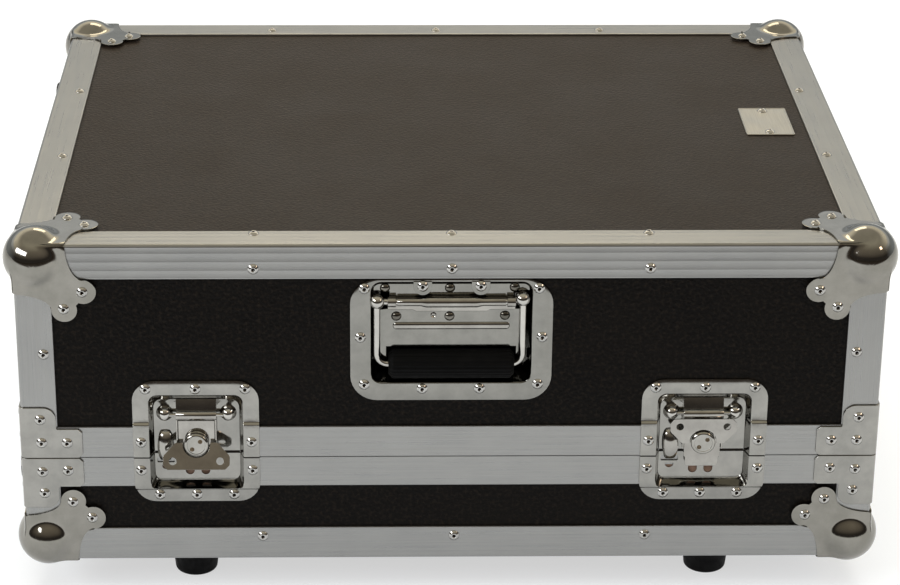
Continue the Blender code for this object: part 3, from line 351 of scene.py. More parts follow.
# %% Aluminium rails
def extruded(along):
    made, tree, shader = finish("aluminium_" + along, metallic=1.0)
    stretch = tuple(0.012 if axis == along else 1.0 for axis in "xyz")
    streak = noise(tree, 900, stretch, detail=4.0, roughness=0.7)
    cloud = noise(tree, 22, detail=3.0)
    tint = two_colours(tree, spread(tree, cloud, 0, 1), (0.275, 0.278, 0.277), (0.312, 0.314, 0.310))
    pale = spread(tree, streak, 0, 1, 0.3, 0.75)
    colour = two_colours(tree, pale, tint, (0.352, 0.352, 0.344))
    coat(tree, shader, colour, spread(tree, streak, 0.27, 0.37))
    bump(tree, shader, streak, 0.00003, 0.5)
    return made


rail_along = {axis: extruded(axis) for axis in "xyz"}
print("rail finishes:", len(rail_along))

# %% [markdown]
# The fittings are pressed from sheet steel and plated with zinc. The plating follows small
# waves in the sheet, so reflections wobble, and it has faint cloudy patches. The balls, the
# bail and the hubs are polished and chromed, which makes a much sharper mirror.

# %% Plated and chromed steel
def plated(name, dark, pale, gloss, waves):
    made, tree, shader = finish(name, metallic=1.0)
    cloud = noise(tree, 55, detail=4.0, roughness=0.6)
    fine = noise(tree, 420, detail=3.0)
    colour = two_colours(tree, spread(tree, cloud, 0, 1), dark, pale)
    coat(tree, shader, colour, spread(tree, fine, *gloss))
    bump(tree, shader, noise(tree, 45, detail=1.0), waves, 0.5)
    bump(tree, shader, fine, 0.00001, 0.3)
    return made


zinc = plated("zinc", (0.275, 0.272, 0.256), (0.335, 0.330, 0.310), (0.07, 0.13), 0.00020)
handle_zinc = plated("handle_zinc", (0.225, 0.223, 0.208), (0.275, 0.271, 0.253), (0.07, 0.13), 0.00020)
works_zinc = plated("works_zinc", (0.32, 0.31, 0.29), (0.40, 0.39, 0.365), (0.07, 0.13), 0.00010)
corner_steel = plated("corner_steel", (0.235, 0.228, 0.205), (0.285, 0.275, 0.250), (0.06, 0.11), 0.00008)
chrome = plated("chrome", (0.46, 0.45, 0.43), (0.54, 0.53, 0.50), (0.04, 0.08), 0.00005)
hub_chrome = plated("hub_chrome", (0.33, 0.325, 0.30), (0.40, 0.39, 0.365), (0.04, 0.08), 0.00004)
# The stud heads are painted much darker than the plating: painted reflection of the dim room above
stud_painted_dark_steel = plated("stud_painted_dark_steel", (0.11, 0.105, 0.09), (0.19, 0.18, 0.16), (0.12, 0.20), 0.00004)
rivet_metal = plated("rivet_metal", (0.42, 0.415, 0.40), (0.50, 0.495, 0.48), (0.10, 0.17), 0.00003)

# %% [markdown]
# Rivets' mandrel holes and the space seen through small gaps are painted nearly black, as painted
# shade. The wood behind the latches' holes is bare, and the hubs' marks are brown painted shade for
# their holes. None of these has a bump, because each is only a few millimetres wide.

# %% Painted shade, bare wood and hub marks
def dull(name, specular, grain, dark, pale, gloss_scale, gloss):
    """Two tones mixed by a noise; grain is the noise's scale, stretch and detail."""
    made, tree, shader = finish(name, specular=specular)
    tone = spread(tree, noise(tree, *grain), 0, 1)
    coat(tree, shader, two_colours(tree, tone, dark, pale), spread(tree, noise(tree, gloss_scale), *gloss))
    return made


# Near-black painted shade, for rivet holes and the dark sheets seen through gaps
painted_shade_dark = dull("painted_shade_dark", 0.2, (700,), (0.006, 0.005, 0.004), (0.03, 0.022, 0.016), 300, (0.5, 0.8))
bare_wood = dull("bare_wood", 0.15, (500, (0.1, 1.0, 1.0), 4.0), (0.30, 0.19, 0.145), (0.44, 0.29, 0.22),
                 200, (0.6, 0.8))
# Brown painted shade for the small holes in the hubs' faces
hub_hole_painted_shade = dull("hub_hole_painted_shade", 0.3, (600,), (0.07, 0.05, 0.03), (0.16, 0.12, 0.075), 300, (0.4, 0.6))
print("dull finishes:", painted_shade_dark.name, bare_wood.name, hub_hole_painted_shade.name)

# %% [markdown]
# Rubber has no metal in it and a wide, weak gloss. The feet are dusty from the road. The grip
# is a darker, oilier rubber. The foam has open cells, which a fine Voronoi pattern gives.

# %% Rubber and foam
def rubber(name, dark, dusty, gloss, specular=0.3):
    made, tree, shader = finish(name, specular=specular)
    dust = spread(tree, noise(tree, 60, detail=5.0, roughness=0.7), 0, 1, 0.45, 0.75)
    coat(tree, shader, two_colours(tree, dust, dark, dusty), spread(tree, noise(tree, 200), *gloss))
    bump(tree, shader, noise(tree, 1300, detail=2.0), 0.00008, 0.5)
    return made


foot_rubber = rubber("foot_rubber", (0.0035, 0.0035, 0.0038), (0.0085, 0.0080, 0.0080), (0.50, 0.70), 0.12)
grip_rubber = rubber("grip_rubber", (0.0018, 0.0019, 0.0020), (0.0038, 0.0038, 0.0038), (0.45, 0.60), 0.07)

foam_grey, tree, shader = finish("foam_grey", specular=0.15)
where = tree.nodes.new("ShaderNodeTexCoord")
cells = tree.nodes.new("ShaderNodeTexVoronoi")
cells.inputs["Scale"].default_value = 900
tree.links.new(where.outputs["Object"], cells.inputs["Vector"])
cell_tone = spread(tree, cells.outputs["Distance"], 0, 1, 0.0, 0.8)
foam_colour = two_colours(tree, cell_tone, (0.012, 0.012, 0.013), (0.045, 0.045, 0.048))
coat(tree, shader, foam_colour, spread(tree, noise(tree, 40), 0.85, 0.98))
bump(tree, shader, cells.outputs["Distance"], 0.0005, 0.6)
print("soft finishes done")

# %% [markdown]
# ## Boards
#
# The ten boards of the solid model already have the right shape: flat sheets with holes for
# the dishes. So they stay, and only take the laminate.

# %% Give the boards their laminate
boards = [name for name in frame["nodes"] if name.endswith("_panel")]
for name in boards:
    mesh = frame["nodes"][name].data
    mesh.materials.clear()
    mesh.materials.append(laminate)
print(len(boards), "boards")

# %% [markdown]
# ## Rails
#
# A rail is an angle with a rounded bend. Three fine beads run along each leg, and its free edge
# has a small lip that catches a bright line. One could draw the beads with a bump texture, but
# they show in the outline of a rail's end, so the section is drawn once and extruded.

# %% Section of a leg
BAND = 0.00005
FAINT_BAND = 0.00002
BEND = 0.0026


def leg_line(length, beads, start, band=BAND):
    """A leg's outer face from its free edge inwards, as (distance from the bend, depth)."""
    points = [(length, 0.0008), (length - 0.0003, 0.0002), (length - 0.0008, 0.0)]
    points += [(length - 0.0013, 0.00001), (length - 0.0017, band)]
    for k in range(beads, 0, -1):
        middle = length * k / (beads + 1)
        points += [(middle + 0.0007, band), (middle + 0.0003, 0.000005), (middle, 0.0)]
        points += [(middle - 0.0003, 0.000005), (middle - 0.0007, band)]
    return points + [(start + 0.0006, band), (start + 0.0001, band * 0.8)]


def angle_section(flat=BAND):
    """Both legs of an edge rail with the bend at (0, 0). The second leg's beads may be finer."""
    points = [(depth, distance) for distance, depth in leg_line(RAIL, 3, BEND)]
    points += arc((BEND, BEND), BEND, 180, 270, 6)
    points += [(distance, depth) for distance, depth in reversed(leg_line(RAIL, 3, BEND, flat))]
    return points + [(RAIL, WALL), (WALL, WALL), (WALL, RAIL)]


def seam_section(leg, tongue):
    """Seam rail as (depth, distance from the seam), with its groove or its tongue."""
    line = leg_line(leg, 4, 0.0010)
    points = [(depth, distance) for distance, depth in line]
    points += [(0.0, 0.0008), (0.0001, HALF_SLIT + 0.0001), (0.0004, HALF_SLIT)]
    if tongue:
        points += [(0.0040, HALF_SLIT), (0.0041, -0.0039), (0.0045, -0.0042)]
        points += [(0.0067, -0.0042), (0.0071, -0.0039), (0.0072, HALF_SLIT)]
    else:
        points += [(0.0034, HALF_SLIT), (0.0034, 0.0048), (0.0078, 0.0048), (0.0078, HALF_SLIT)]
    points += [(0.01215, HALF_SLIT), (0.01215, 0.0140), (0.01105, 0.0140), (0.01105, 0.0064)]
    return points + [(WALL, 0.0064), (WALL, leg)]


# %% [markdown]
# The top and bottom rails stop inside the ball corners, which cover their ends, so each side of
# the case gets a straight run. The upright rails butt against them. The seam rails are seen
# from above when the lid is off, so they run round the case as one mitred ring.

# %% Edge rails
STOP = 0.027


def edge_run(bm, level, up, side):
    """One straight edge rail at the top (up 1) or bottom (up -1)."""
    loops = []
    for end in (-1, 1):
        loop = []
        for a, b in angle_section(FAINT_BAND):
            height = level - up * b
            if side in ("front", "back"):
                x = RIGHT - STOP if end > 0 else LEFT + STOP
                y = FRONT + a if side == "front" else BACK - a
            else:
                x = LEFT + a if side == "left" else RIGHT - a
                y = BACK - STOP if end > 0 else FRONT + STOP
            loop.append((x, y, height))
        loops.append(loop)
    skin(bm, loops)


def edge_post(bm, sx, sy, low, high):
    corner = (RIGHT if sx > 0 else LEFT, BACK if sy > 0 else FRONT)
    outline = [(corner[0] - sx * a, corner[1] - sy * b) for a, b in angle_section()]
    prism(bm, outline, low, high, "z")


for part, level, up, node in (("lid", TOP, 1, "lid_top_frame"), ("base", BOTTOM, -1, "base_edge_frame")):
    for along, sides in (("x", ("front", "back")), ("y", ("left", "right"))):
        bm = bmesh.new()
        for side in sides:
            edge_run(bm, level, up, side)
        add(f"{part}_edge_rails_{along}", bm, rail_along[along], part, [node])

corners = [(sx, sy) for sx in (-1, 1) for sy in (-1, 1)]
spans = {"lid": (SEAM + LID_LEG + GAP, TOP - RAIL - GAP),
         "base": (BOTTOM + RAIL + GAP, SEAM - BASE_LEG - GAP)}
posts = [name for name in frame["nodes"] if name.startswith("lid_post")]
for part, (low, high) in spans.items():
    bm = bmesh.new()
    for sx, sy in corners:
        edge_post(bm, sx, sy, low, high)
    add(part + "_upright_rails", bm, rail_along["z"], part, posts if part == "lid" else ())
print("edge rails and uprights done")

# %% Seam rails
LATCH_INSET = 0.1436
LATCH_X = RIGHT - MIDDLE - LATCH_INSET
SLOT_HALF = 0.0398
SLOT_DEEP = 0.01085


def seam_ring(part, leg, up):
    bm = bmesh.new()
    section = seam_section(leg, up < 0)
    loops = []
    for sx, sy in ((1, 1), (-1, 1), (-1, -1), (1, -1), (1, 1)):
        corner = (RIGHT if sx > 0 else LEFT, BACK if sy > 0 else FRONT)
        loops.append([(corner[0] - sx * a, corner[1] - sy * a, SEAM + up * b) for a, b in section])
    skin(bm, loops, ends=False)
    ring = add(f"{part}_seam_rail", bm, (rail_along["x"], rail_along["y"]), part,
               [part + "_seam_frame"])
    tool = bmesh.new()
    for sign in (-1, 1):
        x = MIDDLE + sign * LATCH_X
        outline = [(x - SLOT_HALF, FRONT - BOARD), (x + SLOT_HALF, FRONT - BOARD),
                   (x + SLOT_HALF, FRONT + SLOT_DEEP), (x - SLOT_HALF, FRONT + SLOT_DEEP)]
        prism(tool, outline, SEAM - RAIL - BOARD, SEAM + RAIL + BOARD, "z")
    carve(ring, tool)
    for face in ring.data.polygons:
        face.material_index = 0 if LEFT + RAIL <= face.center.x <= RIGHT - RAIL else 1
    return ring


for part, leg, up in (("lid", LID_LEG, 1), ("base", BASE_LEG, -1)):
    ring = seam_ring(part, leg, up)
    print(ring.name, "has", len(ring.data.polygons), "faces")

# %% [markdown]
# ## Ball corners
#
# A ball corner is one pressing: a hollow ball that takes the knocks, flowing into three flat
# flanges with two round lobes each. Joining a sphere and three plates would leave a hard crease
# where the steel really curves. So the skin is worked out as a distance from the ball's middle:
# in each direction it is the larger of the ball's radius and the distance to a rounded box, and
# the change from one to the other is smoothed. The steel's thickness comes from Solidify.

# %% Distance to the skin
BALL = 0.0257
BALL_IN = 0.0165
FACE = BALL_IN + GAP + SHEET
EDGE_TURN = 0.0032
FILLET = 0.0035
RIM = 0.00045


def box_reach(d):
    """How far it is along a direction to the rounded box that the flanges lie on."""
    reach = FACE / max(d)
    core = FACE - EDGE_TURN
    for _ in range(14):
        over = Vector([max(reach * v - core, 0) for v in d])
        reach -= over.length - EDGE_TURN
    return reach


def skin_reach(d):
    box = box_reach(d)
    lowest = min(d) * BALL
    if lowest > 0:
        return BALL
    fade = min(-lowest / 0.005, 1)
    fillet = FILLET * fade + 1e-6
    near = max(fillet - abs(box - BALL), 0) / fillet
    return max(box, BALL) + near * near * fillet / 4


# %% Outline of a flange
ARM_END = 0.0425
LOBE_OUT, LOBE_SIDE, LOBE_TURN = 0.0560, 0.0402, 0.0104


def flange_outline():
    """Half of a flange from its corner, as distances from the case's corner."""
    edge = -PROUD
    straight = []
    for k in range(23):
        a = edge + (ARM_END - edge) * k / 22
        straight.append((a, edge + 0.0005 * min(max((a - 0.0235) / 0.002, 0), 1)))
    hollow = arc((LOBE_OUT, edge), (LOBE_OUT - ARM_END, LOBE_SIDE - LOBE_TURN - edge), 180, 90, 14)
    lobe = arc((LOBE_OUT, LOBE_SIDE), LOBE_TURN, -90, 112, 18)
    half = straight + hollow[1:] + lobe[1:]
    return half + [(b, a) for a, b in reversed(half[1:])]


INNER_ROWS = [0.1, 0.22, 0.34, 0.45, 0.55, 0.64, 0.70, 0.745, 0.78, 0.815, 0.85, 0.885, 0.92, 0.96, 1.0]
OUTER_ROWS = [0.12, 0.3, 0.5, 0.7, 0.88, 0.96, 1.0]


def flange_rings():
    """Rows of points on one face's plane, from the ball's middle out to the rim."""
    rim = [(BALL_IN - a, BALL_IN - b) for a, b in flange_outline()]
    turns = [math.atan2(v, u) for u, v in rim[:23]]
    arm = turns[-1]
    turns += [arm + (math.radians(207) - arm) * k / 14 for k in range(1, 15)]
    turns += [math.radians(207 + k) for k in range(1, 19)]
    turns += [2.5 * math.pi - t for t in reversed(turns[:-1])]
    inner = []
    for (u, v), t in zip(rim, turns):
        far = min(0.0250, 0.92 * math.hypot(u, v))
        inner.append((far * math.cos(t), far * math.sin(t)))
    rows = [[(f * u, f * v) for u, v in inner] for f in INNER_ROWS]
    for f in OUTER_ROWS:
        rows.append([(a + f * (u - a), b + f * (v - b)) for (a, b), (u, v) in zip(inner, rim)])
    return rows


# %% Press the corner
def press_corner(bm, place):
    """Adds the skin of one ball corner, which points to +x +y +z before it is placed."""
    lift = {"x": lambda u, v, w: (w, u, v), "y": lambda u, v, w: (v, w, u), "z": lambda u, v, w: (u, v, w)}
    rows = flange_rings()
    for face in "xyz":
        made = []
        for level, row in enumerate(rows):
            ring = []
            for u, v in row:
                d = Vector(lift[face](u, v, FACE)).normalized()
                ring.append(bm.verts.new(place @ (d * skin_reach(d))))
            made.append(ring)
        middle = bm.verts.new(place @ Vector(lift[face](0, 0, BALL)))
        count = len(made[0])
        for k in range(count):
            n = (k + 1) % count
            bm.faces.new((middle, made[0][k], made[0][n]))
            for ring, outer in zip(made, made[1:]):
                bm.faces.new((ring[k], outer[k], outer[n], ring[n]))


def ball_corner(part, sx, sy):
    up = 1 if part == "lid" else -1
    side, end = ("front", "back")[sy > 0], ("left", "right")[sx > 0]
    x = (RIGHT if sx > 0 else LEFT) - sx * BALL_IN
    y = (BACK if sy > 0 else FRONT) - sy * BALL_IN
    z = (TOP if up > 0 else BOTTOM) - up * BALL_IN
    place = Matrix.Translation((x, y, z)) @ Matrix.Diagonal((sx, sy, up, 1))
    bm = bmesh.new()
    press_corner(bm, place)
    name = f"{part}_ball_corner_{side}_{end}"
    piece = add("chromed_" + name, bm, corner_steel, part, [name], angle=50)
    steel = piece.modifiers.new("steel", "SOLIDIFY")
    steel.thickness = SHEET
    steel.offset = -1
    round_edges(piece, RIM, 60)
    return piece


for part in ("lid", "base"):
    for sx, sy in corners:
        corner_piece = ball_corner(part, sx, sy)
print("each ball corner has", len(corner_piece.data.polygons), "faces before its thickness")

# %% [markdown]
# ## Braces
#
# Over the seam at each upright edge sits a pair of braces, folded from flat steel. The flat
# blank is easy to draw, so it is made flat, cut into strips near the fold, and then bent by
# moving its points round the edge.

# %% Braces
FOLD = 0.0034
BRACE_LONG, BRACE_TALL, NIP = 0.050, 0.0265, 0.0032
STEM_HALF, STEM_TOP, STEM_TURN = 0.029, 0.046, 0.0105


def brace_blank():
    """Half of the blank as (distance from the upright edge, distance from the seam)."""
    edge, high = BRACE_LONG, BRACE_TALL
    half = [(edge - NIP, 0.0003), (edge, 0.0003 + NIP), (edge, high - NIP), (edge - NIP, high)]
    half += [(0.0302, high)] + arc((0.0302, high + 0.0012), 0.0012, -90, -180, 3)[1:]
    return half + arc((STEM_HALF - STEM_TURN, STEM_TOP - STEM_TURN), STEM_TURN, 0, 90, 8)


def folded(a, out):
    """Where a point of the blank goes: (in from the upright face, in from the other face)."""
    if abs(a) >= FOLD:
        first, second = -out, abs(a)
    else:
        angle = (1 - abs(a) / FOLD) * math.pi / 4
        radius = FOLD + out
        first, second = FOLD - radius * math.cos(angle), FOLD - radius * math.sin(angle)
    return (first, second) if a >= 0 else (second, first)


def brace(part, sx, sy):
    up = 1 if part == "lid" else -1
    bm = bmesh.new()
    prism(bm, mirrored(brace_blank()), GAP, PROUD)
    for k in range(-6, 7):
        slice_at(bm, (FOLD * k / 6, 0, 0), (1, 0, 0))
    x, y = (RIGHT if sx > 0 else LEFT), (BACK if sy > 0 else FRONT)
    for vert in bm.verts:
        along, out, height = vert.co
        to_y, to_x = folded(along, out)
        vert.co = (x - sx * to_x, y - sy * to_y, SEAM + up * height)
    name = f"{part}_brace_{('front', 'back')[sy > 0]}_{('left', 'right')[sx > 0]}"
    return add("plated_" + name, bm, zinc, part, [name], bevel=0.0004)


for part in ("lid", "base"):
    for sx, sy in corners:
        brace(part, sx, sy)
print("braces done")

# %% [markdown]
# ## Rivets
#
# Every fitting is held by hollow rivets: a domed head with the dark hole of its mandrel in the
# middle. There are well over a hundred, all alike, so one turned profile is stamped into a
# single mesh for each body that carries them.

# %% One rivet head
RIVET = [(0.0046, -0.0002), (0.0046, 0.0002), (0.0043, 0.0005), (0.0039, 0.0008), (0.0034, 0.0013),
         (0.0028, 0.0017), (0.0022, 0.0019), (0.0017, 0.0019), (0.0014, 0.0017), (0.0013, 0.0014)]
HOLE = [(0.0013, 0.0002), (0.0001, 0.0001)]


def rivet(bm, point, out):
    place = facing(point, out)
    for face in turned(bm, RIVET + HOLE, 24, place):
        # Faces inside the mandrel hole take the second finish, which is near-black painted shade
        middle = place.inverted() @ face.calc_center_median()
        inside = Vector((middle.x, middle.y, 0)).length < 0.00135
        face.material_index = 1 if inside and middle.z < 0.0015 else 0


seats = {"lid": [], "base": []}
print("rivet profile has", len(RIVET), "points")

# %% Rivets along the rails
def on_side(side, along, level, out=0.0):
    """A seat on an upright face: along from the left (or the front), level above the floor."""
    if side == "front":
        return (along, FRONT - out, level), (0, -1, 0)
    if side == "back":
        return (along, BACK + out, level), (0, 1, 0)
    if side == "left":
        return (LEFT - out, along, level), (-1, 0, 0)
    return (RIGHT + out, along, level), (1, 0, 0)


ENDS = {"front": (LEFT, RIGHT), "back": (LEFT, RIGHT), "left": (FRONT, BACK), "right": (FRONT, BACK)}
UPPER, LOWER = TOP - 0.0212, BOTTOM + 0.0215
for x in (-0.160, 0.0, 0.160):
    for side in ("front", "back"):
        seats["lid"].append(on_side(side, MIDDLE + x, UPPER, -BAND))
        seats["base"].append(on_side(side, MIDDLE + x + 0.004, TOP - 0.2645, -BAND))
    seats["lid"].append(((MIDDLE + x, FRONT + 0.0240, TOP - BAND), UP))
    seats["lid"].append(((MIDDLE + x, BACK - 0.0180, TOP - BAND), UP))
    seats["base"].append(((MIDDLE + x, FRONT + 0.0210, BOTTOM + BAND), DOWN))
    seats["base"].append(((MIDDLE + x, BACK - 0.0210, BOTTOM + BAND), DOWN))
for y in (0.200, 0.366):
    for side, x in (("left", LEFT + 0.0217), ("right", RIGHT - 0.0217)):
        seats["lid"].append(((x, FRONT + y, TOP - BAND), UP))
        seats["lid"].append(on_side(side, FRONT + y, UPPER, -BAND))
        seats["base"].append(on_side(side, FRONT + y, LOWER, -BAND))
        seats["base"].append(((x, FRONT + y, BOTTOM + BAND), DOWN))
for side, (near, far) in ENDS.items():
    for along in (near + 0.0215, far - 0.0215):
        seats["lid"].append(on_side(side, along, TOP - 0.0962, -BAND))
print("rail rivets:", len(seats["lid"]) + len(seats["base"]))

# %% Rivets on the corners and braces
LOBES = ((0.0552, 0.0404), (0.0398, 0.0552))
BRACE_SEATS = {"lid": ((0.0160, 0.0352), (0.0163, 0.0142), (0.0373, 0.0140)),
               "base": ((0.0159, 0.0127), (0.0370, 0.0116), (0.0168, 0.0323))}
for part, level, up in (("lid", TOP, 1), ("base", BOTTOM, -1)):
    for side, (near, far) in ENDS.items():
        for edge, inward in ((near, 1), (far, -1)):
            for a, b in LOBES:
                seats[part].append(on_side(side, edge + inward * a, level - up * b, PROUD))
            for a, b in BRACE_SEATS[part]:
                seats[part].append(on_side(side, edge + inward * a, SEAM + up * b, PROUD))
    for x, sx in ((LEFT, 1), (RIGHT, -1)):
        for y, sy in ((FRONT, 1), (BACK, -1)):
            for a, b in LOBES:
                seats[part].append(((x + sx * a, y + sy * b, level + up * PROUD), (0, 0, up)))
print("lid rivets so far:", len(seats["lid"]), "base:", len(seats["base"]))

# %% [markdown]
# ## Name plate
#
# A small aluminium plate is riveted to the lid's top. It is left bare. Its rim stands slightly
# proud of the middle, as on an embossed plate, which a few loops of the outline give.

# %% Name plate
plate_low, plate_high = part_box("name_plate")
bm = bmesh.new()
levels = ((0.0, 0.0), (0.0, 0.0007), (0.0003, 0.0010), (0.0010, 0.0010), (0.0014, 0.0007))
loops = []
for inset, height in levels:
    outline = rounded(plate_low.x + inset, plate_high.x - inset, plate_low.y + inset, plate_high.y - inset,
                      max(0.0022 - inset, 0.0008))
    loops.append([(x, y, plate_low.z + height) for x, y in outline])
skin(bm, loops)
name_metal, tree, shader = finish("name_plate_metal", metallic=1.0)
brushed = noise(tree, 1200, (1.0, 0.03, 1.0), detail=3.0)
brushed_colour = two_colours(tree, spread(tree, brushed, 0, 1), (0.39, 0.375, 0.34), (0.47, 0.455, 0.41))
coat(tree, shader, brushed_colour, spread(tree, noise(tree, 60), 0.28, 0.36))
bump(tree, shader, brushed, 0.00002, 0.5)
add("bare_name_plate", bm, name_metal, "lid", ["name_plate"])
plate_x = (plate_low.x + plate_high.x) / 2
for y in (plate_low.y + 0.0072, plate_high.y - 0.0072):
    seats["lid"].append(((plate_x, y, plate_low.z + 0.0007), UP))
print("name plate", [round(v, 4) for v in plate_high - plate_low])

# %% [markdown]
# ## Handle
#
# The handle sits in a dish pressed from sheet steel. Its flange lies on the board, its wall is
# rounded where it turns in, and the floor is 14 mm deep. A loft through rounded rectangles
# gives each bend two or three loops, so that every edge has its own highlight.

# %% Handle dish
HANDLE_TOP = TOP - RAIL - 2 * GAP
FLANGE = FRONT + SKIN - GAP - SHEET
HANDLE_LOW, HANDLE_HALF = HANDLE_TOP - 0.108, 0.0823
MOUTH_LOW, MOUTH_HIGH, MOUTH_HALF = HANDLE_LOW + 0.0160, HANDLE_TOP - 0.0026, 0.0653
HANDLE_FLOOR = FLANGE + 0.0141


def dish_loops(flange, floor, mouth, side_taper, low_taper, high_taper, turn):
    """Loops down the inside of a dish: the lip rolls in, the wall slopes, the foot rounds out."""
    half, low, high, x = mouth
    rows = [(-0.0010, 0.0), (-0.0005, 0.00012), (-0.0001, 0.0005), (0.0, 0.0010)]
    depth = floor - flange
    loops = []
    for out, drop in rows:
        outline = rounded(x - half + out, x + half - out, low + out, high - out, turn - out)
        loops.append([(a, flange + drop, b) for a, b in outline])
    for share in (0.25, 0.5, 0.75, 0.9, 0.97, 1.0):
        drop = 0.0010 + (depth - 0.0010) * share
        spill = share if share <= 0.9 else 0.9 + (share - 0.9) * 2.2
        left, right = x - half + side_taper * spill, x + half - side_taper * spill
        outline = rounded(left, right, low + low_taper * spill, high - high_taper * spill, turn)
        loops.append([(a, min(flange + drop, floor), b) for a, b in outline])
    return loops


def flange_loops(flange, outer, turn, thick):
    """Loops round a flange's rim, from its back over its rounded edge."""
    left, right, low, high = outer
    rows = [(0.0, thick), (0.0, 0.0004), (0.0001, 0.00012), (0.0004, 0.0)]
    loops = []
    for inset, drop in rows:
        outline = rounded(left + inset, right - inset, low + inset, high - inset, turn - inset)
        loops.append([(a, flange + drop, b) for a, b in outline])
    return loops


def dish_back(thick, flange, floor, mouth, side_taper, low_taper, turn):
    """The hidden side of a dish: behind the lip, then behind the floor."""
    half, low, high, x = mouth
    wall = thick * 0.85
    loops = []
    for inset, sink, depth in ((0.0, 0.0, flange + thick), (side_taper, low_taper, floor + thick)):
        outline = rounded(x - half + inset - wall, x + half - inset + wall, low + sink - wall,
                          high + wall * (1 if not sink else 0.2), turn)
        loops.append([(a, depth, b) for a, b in outline])
    return loops


def pressed_dish(flange, floor, outer, mouth, tapers, turns, thick):
    """A whole dish: its inside, then its flange's rim, then its hidden side."""
    loops = dish_loops(flange, floor, mouth, *tapers, turns[0])[::-1]
    loops += flange_loops(flange, outer, turns[1], SHEET)[::-1]
    loops += dish_back(thick, flange, floor, mouth, *tapers[:2], turns[2])
    bm = bmesh.new()
    skin(bm, loops)
    return bm


outer = (MIDDLE - HANDLE_HALF, MIDDLE + HANDLE_HALF, HANDLE_LOW, HANDLE_TOP)
mouth = (MOUTH_HALF, MOUTH_LOW, MOUTH_HIGH, MIDDLE)
bm = pressed_dish(FLANGE, HANDLE_FLOOR, outer, mouth, (0.0078, 0.0078, 0.0010), (0.0085, 0.022, 0.0090),
                  SHEET)
dish = add("pressed_handle_dish", bm, handle_zinc, "lid", ["handle_dish"], angle=45)
print("handle dish has", len(dish.data.polygons), "faces")

# %% [markdown]
# A second sheet is hooked under the flange and carries the hinge. Two round tabs come forward
# from it over the lip, each with a rivet. The sheet has a long pressed bead and six round
# stud heads, and its knuckles and a spring tube hold the bail.

# %% Hinge plate
PIN = Vector(joints["handle_fold"]["pos_m"])
PLATE_FACE = FRONT + 0.0050
TAB_OUT = 0.0010
PLATE_TOP = MOUTH_HIGH - 0.0031
side = [(0.0528, MOUTH_HIGH - 0.0590), (0.0528, MOUTH_HIGH - 0.0730), (0.0590, MOUTH_HIGH - 0.0715),
        (0.0602, PIN.z - 0.0086), (0.0504, PIN.z - 0.0076), (0.0504, PIN.z + 0.0074),
        (0.0636, PIN.z + 0.0084)] + arc((0.0636 - 0.0055, PLATE_TOP - 0.0055), 0.0055, 0, 90, 8)
bm = bmesh.new()
prism(bm, mirrored(side, MIDDLE), PLATE_FACE, PLATE_FACE + SHEET)
add("hinge_plate", bm, handle_zinc, "lid", bevel=0.0004)

bm = bmesh.new()
for sign in (-1, 1):
    x = MIDDLE + sign * 0.0235
    outline = arc((x, HANDLE_TOP - 0.0060), 0.0075, 180, 360, 20)
    outline += [(x + 0.0075, HANDLE_TOP - 0.0016), (x - 0.0075, HANDLE_TOP - 0.0016)]
    prism(bm, outline, FLANGE - TAB_OUT, FLANGE + SHEET - TAB_OUT)
add("handle_tabs", bm, handle_zinc, "lid", bevel=0.0003)
print("hinge pin at", [round(v, 4) for v in PIN])


# %% Bead, studs and ring on the hinge plate
def ridge(bm, x, z, half, tall, face, proud, rows=5):
    """A pressed bead with round ends, standing out of a face that looks to -y."""
    loops = []
    for k in range(rows + 1):
        angle = math.pi / 2 * k / rows
        out = proud * math.sin(angle)
        size = tall / 2 * math.cos(angle) ** 0.8 + 0.0001
        left, right = x - half + tall / 2 - size, x + half - tall / 2 + size
        outline = rounded(left, right, z - size, z + size, size * 0.98)
        loops.append([(a, face - out, b) for a, b in outline])
    skin(bm, [[(a, face + 0.0004, b) for a, _, b in loops[0]]] + loops)


bm = bmesh.new()
ridge(bm, MIDDLE, TOP - 0.0735, 0.0475, 0.0062, PLATE_FACE, 0.0014)
STUD = [(0.0042, -0.0004), (0.0042, 0.0001), (0.0039, 0.0007), (0.0034, 0.0013), (0.0026, 0.0019),
        (0.0016, 0.00225), (0.0002, 0.0024)]
studs = [(-0.0540, -0.0400), (-0.0014, -0.0400), (0.0510, -0.0395)]
studs += [(-0.0448, -0.0650), (-0.0016, -0.0650), (0.0435, -0.0645)]
ring = [(0.0024, -0.0002), (0.0024, 0.0004), (0.0020, 0.0008), (0.0015, 0.0004), (0.0012, 0.0001),
        (0.0001, 0.0)]
turned(bm, ring, 20, facing((MIDDLE - 0.0146, PLATE_FACE, TOP - 0.0640), AHEAD))
add("hinge_plate_pressings", bm, works_zinc, "lid", angle=50)
# The stud heads take the darkened steel, whose darkness is painted reflection
bm = bmesh.new()
for x, z in studs:
    turned(bm, STUD, 24, facing((MIDDLE + x, PLATE_FACE, TOP + z), AHEAD))
add("hinge_plate_studs", bm, stud_painted_dark_steel, "lid", angle=50)
print(len(studs), "stud heads")

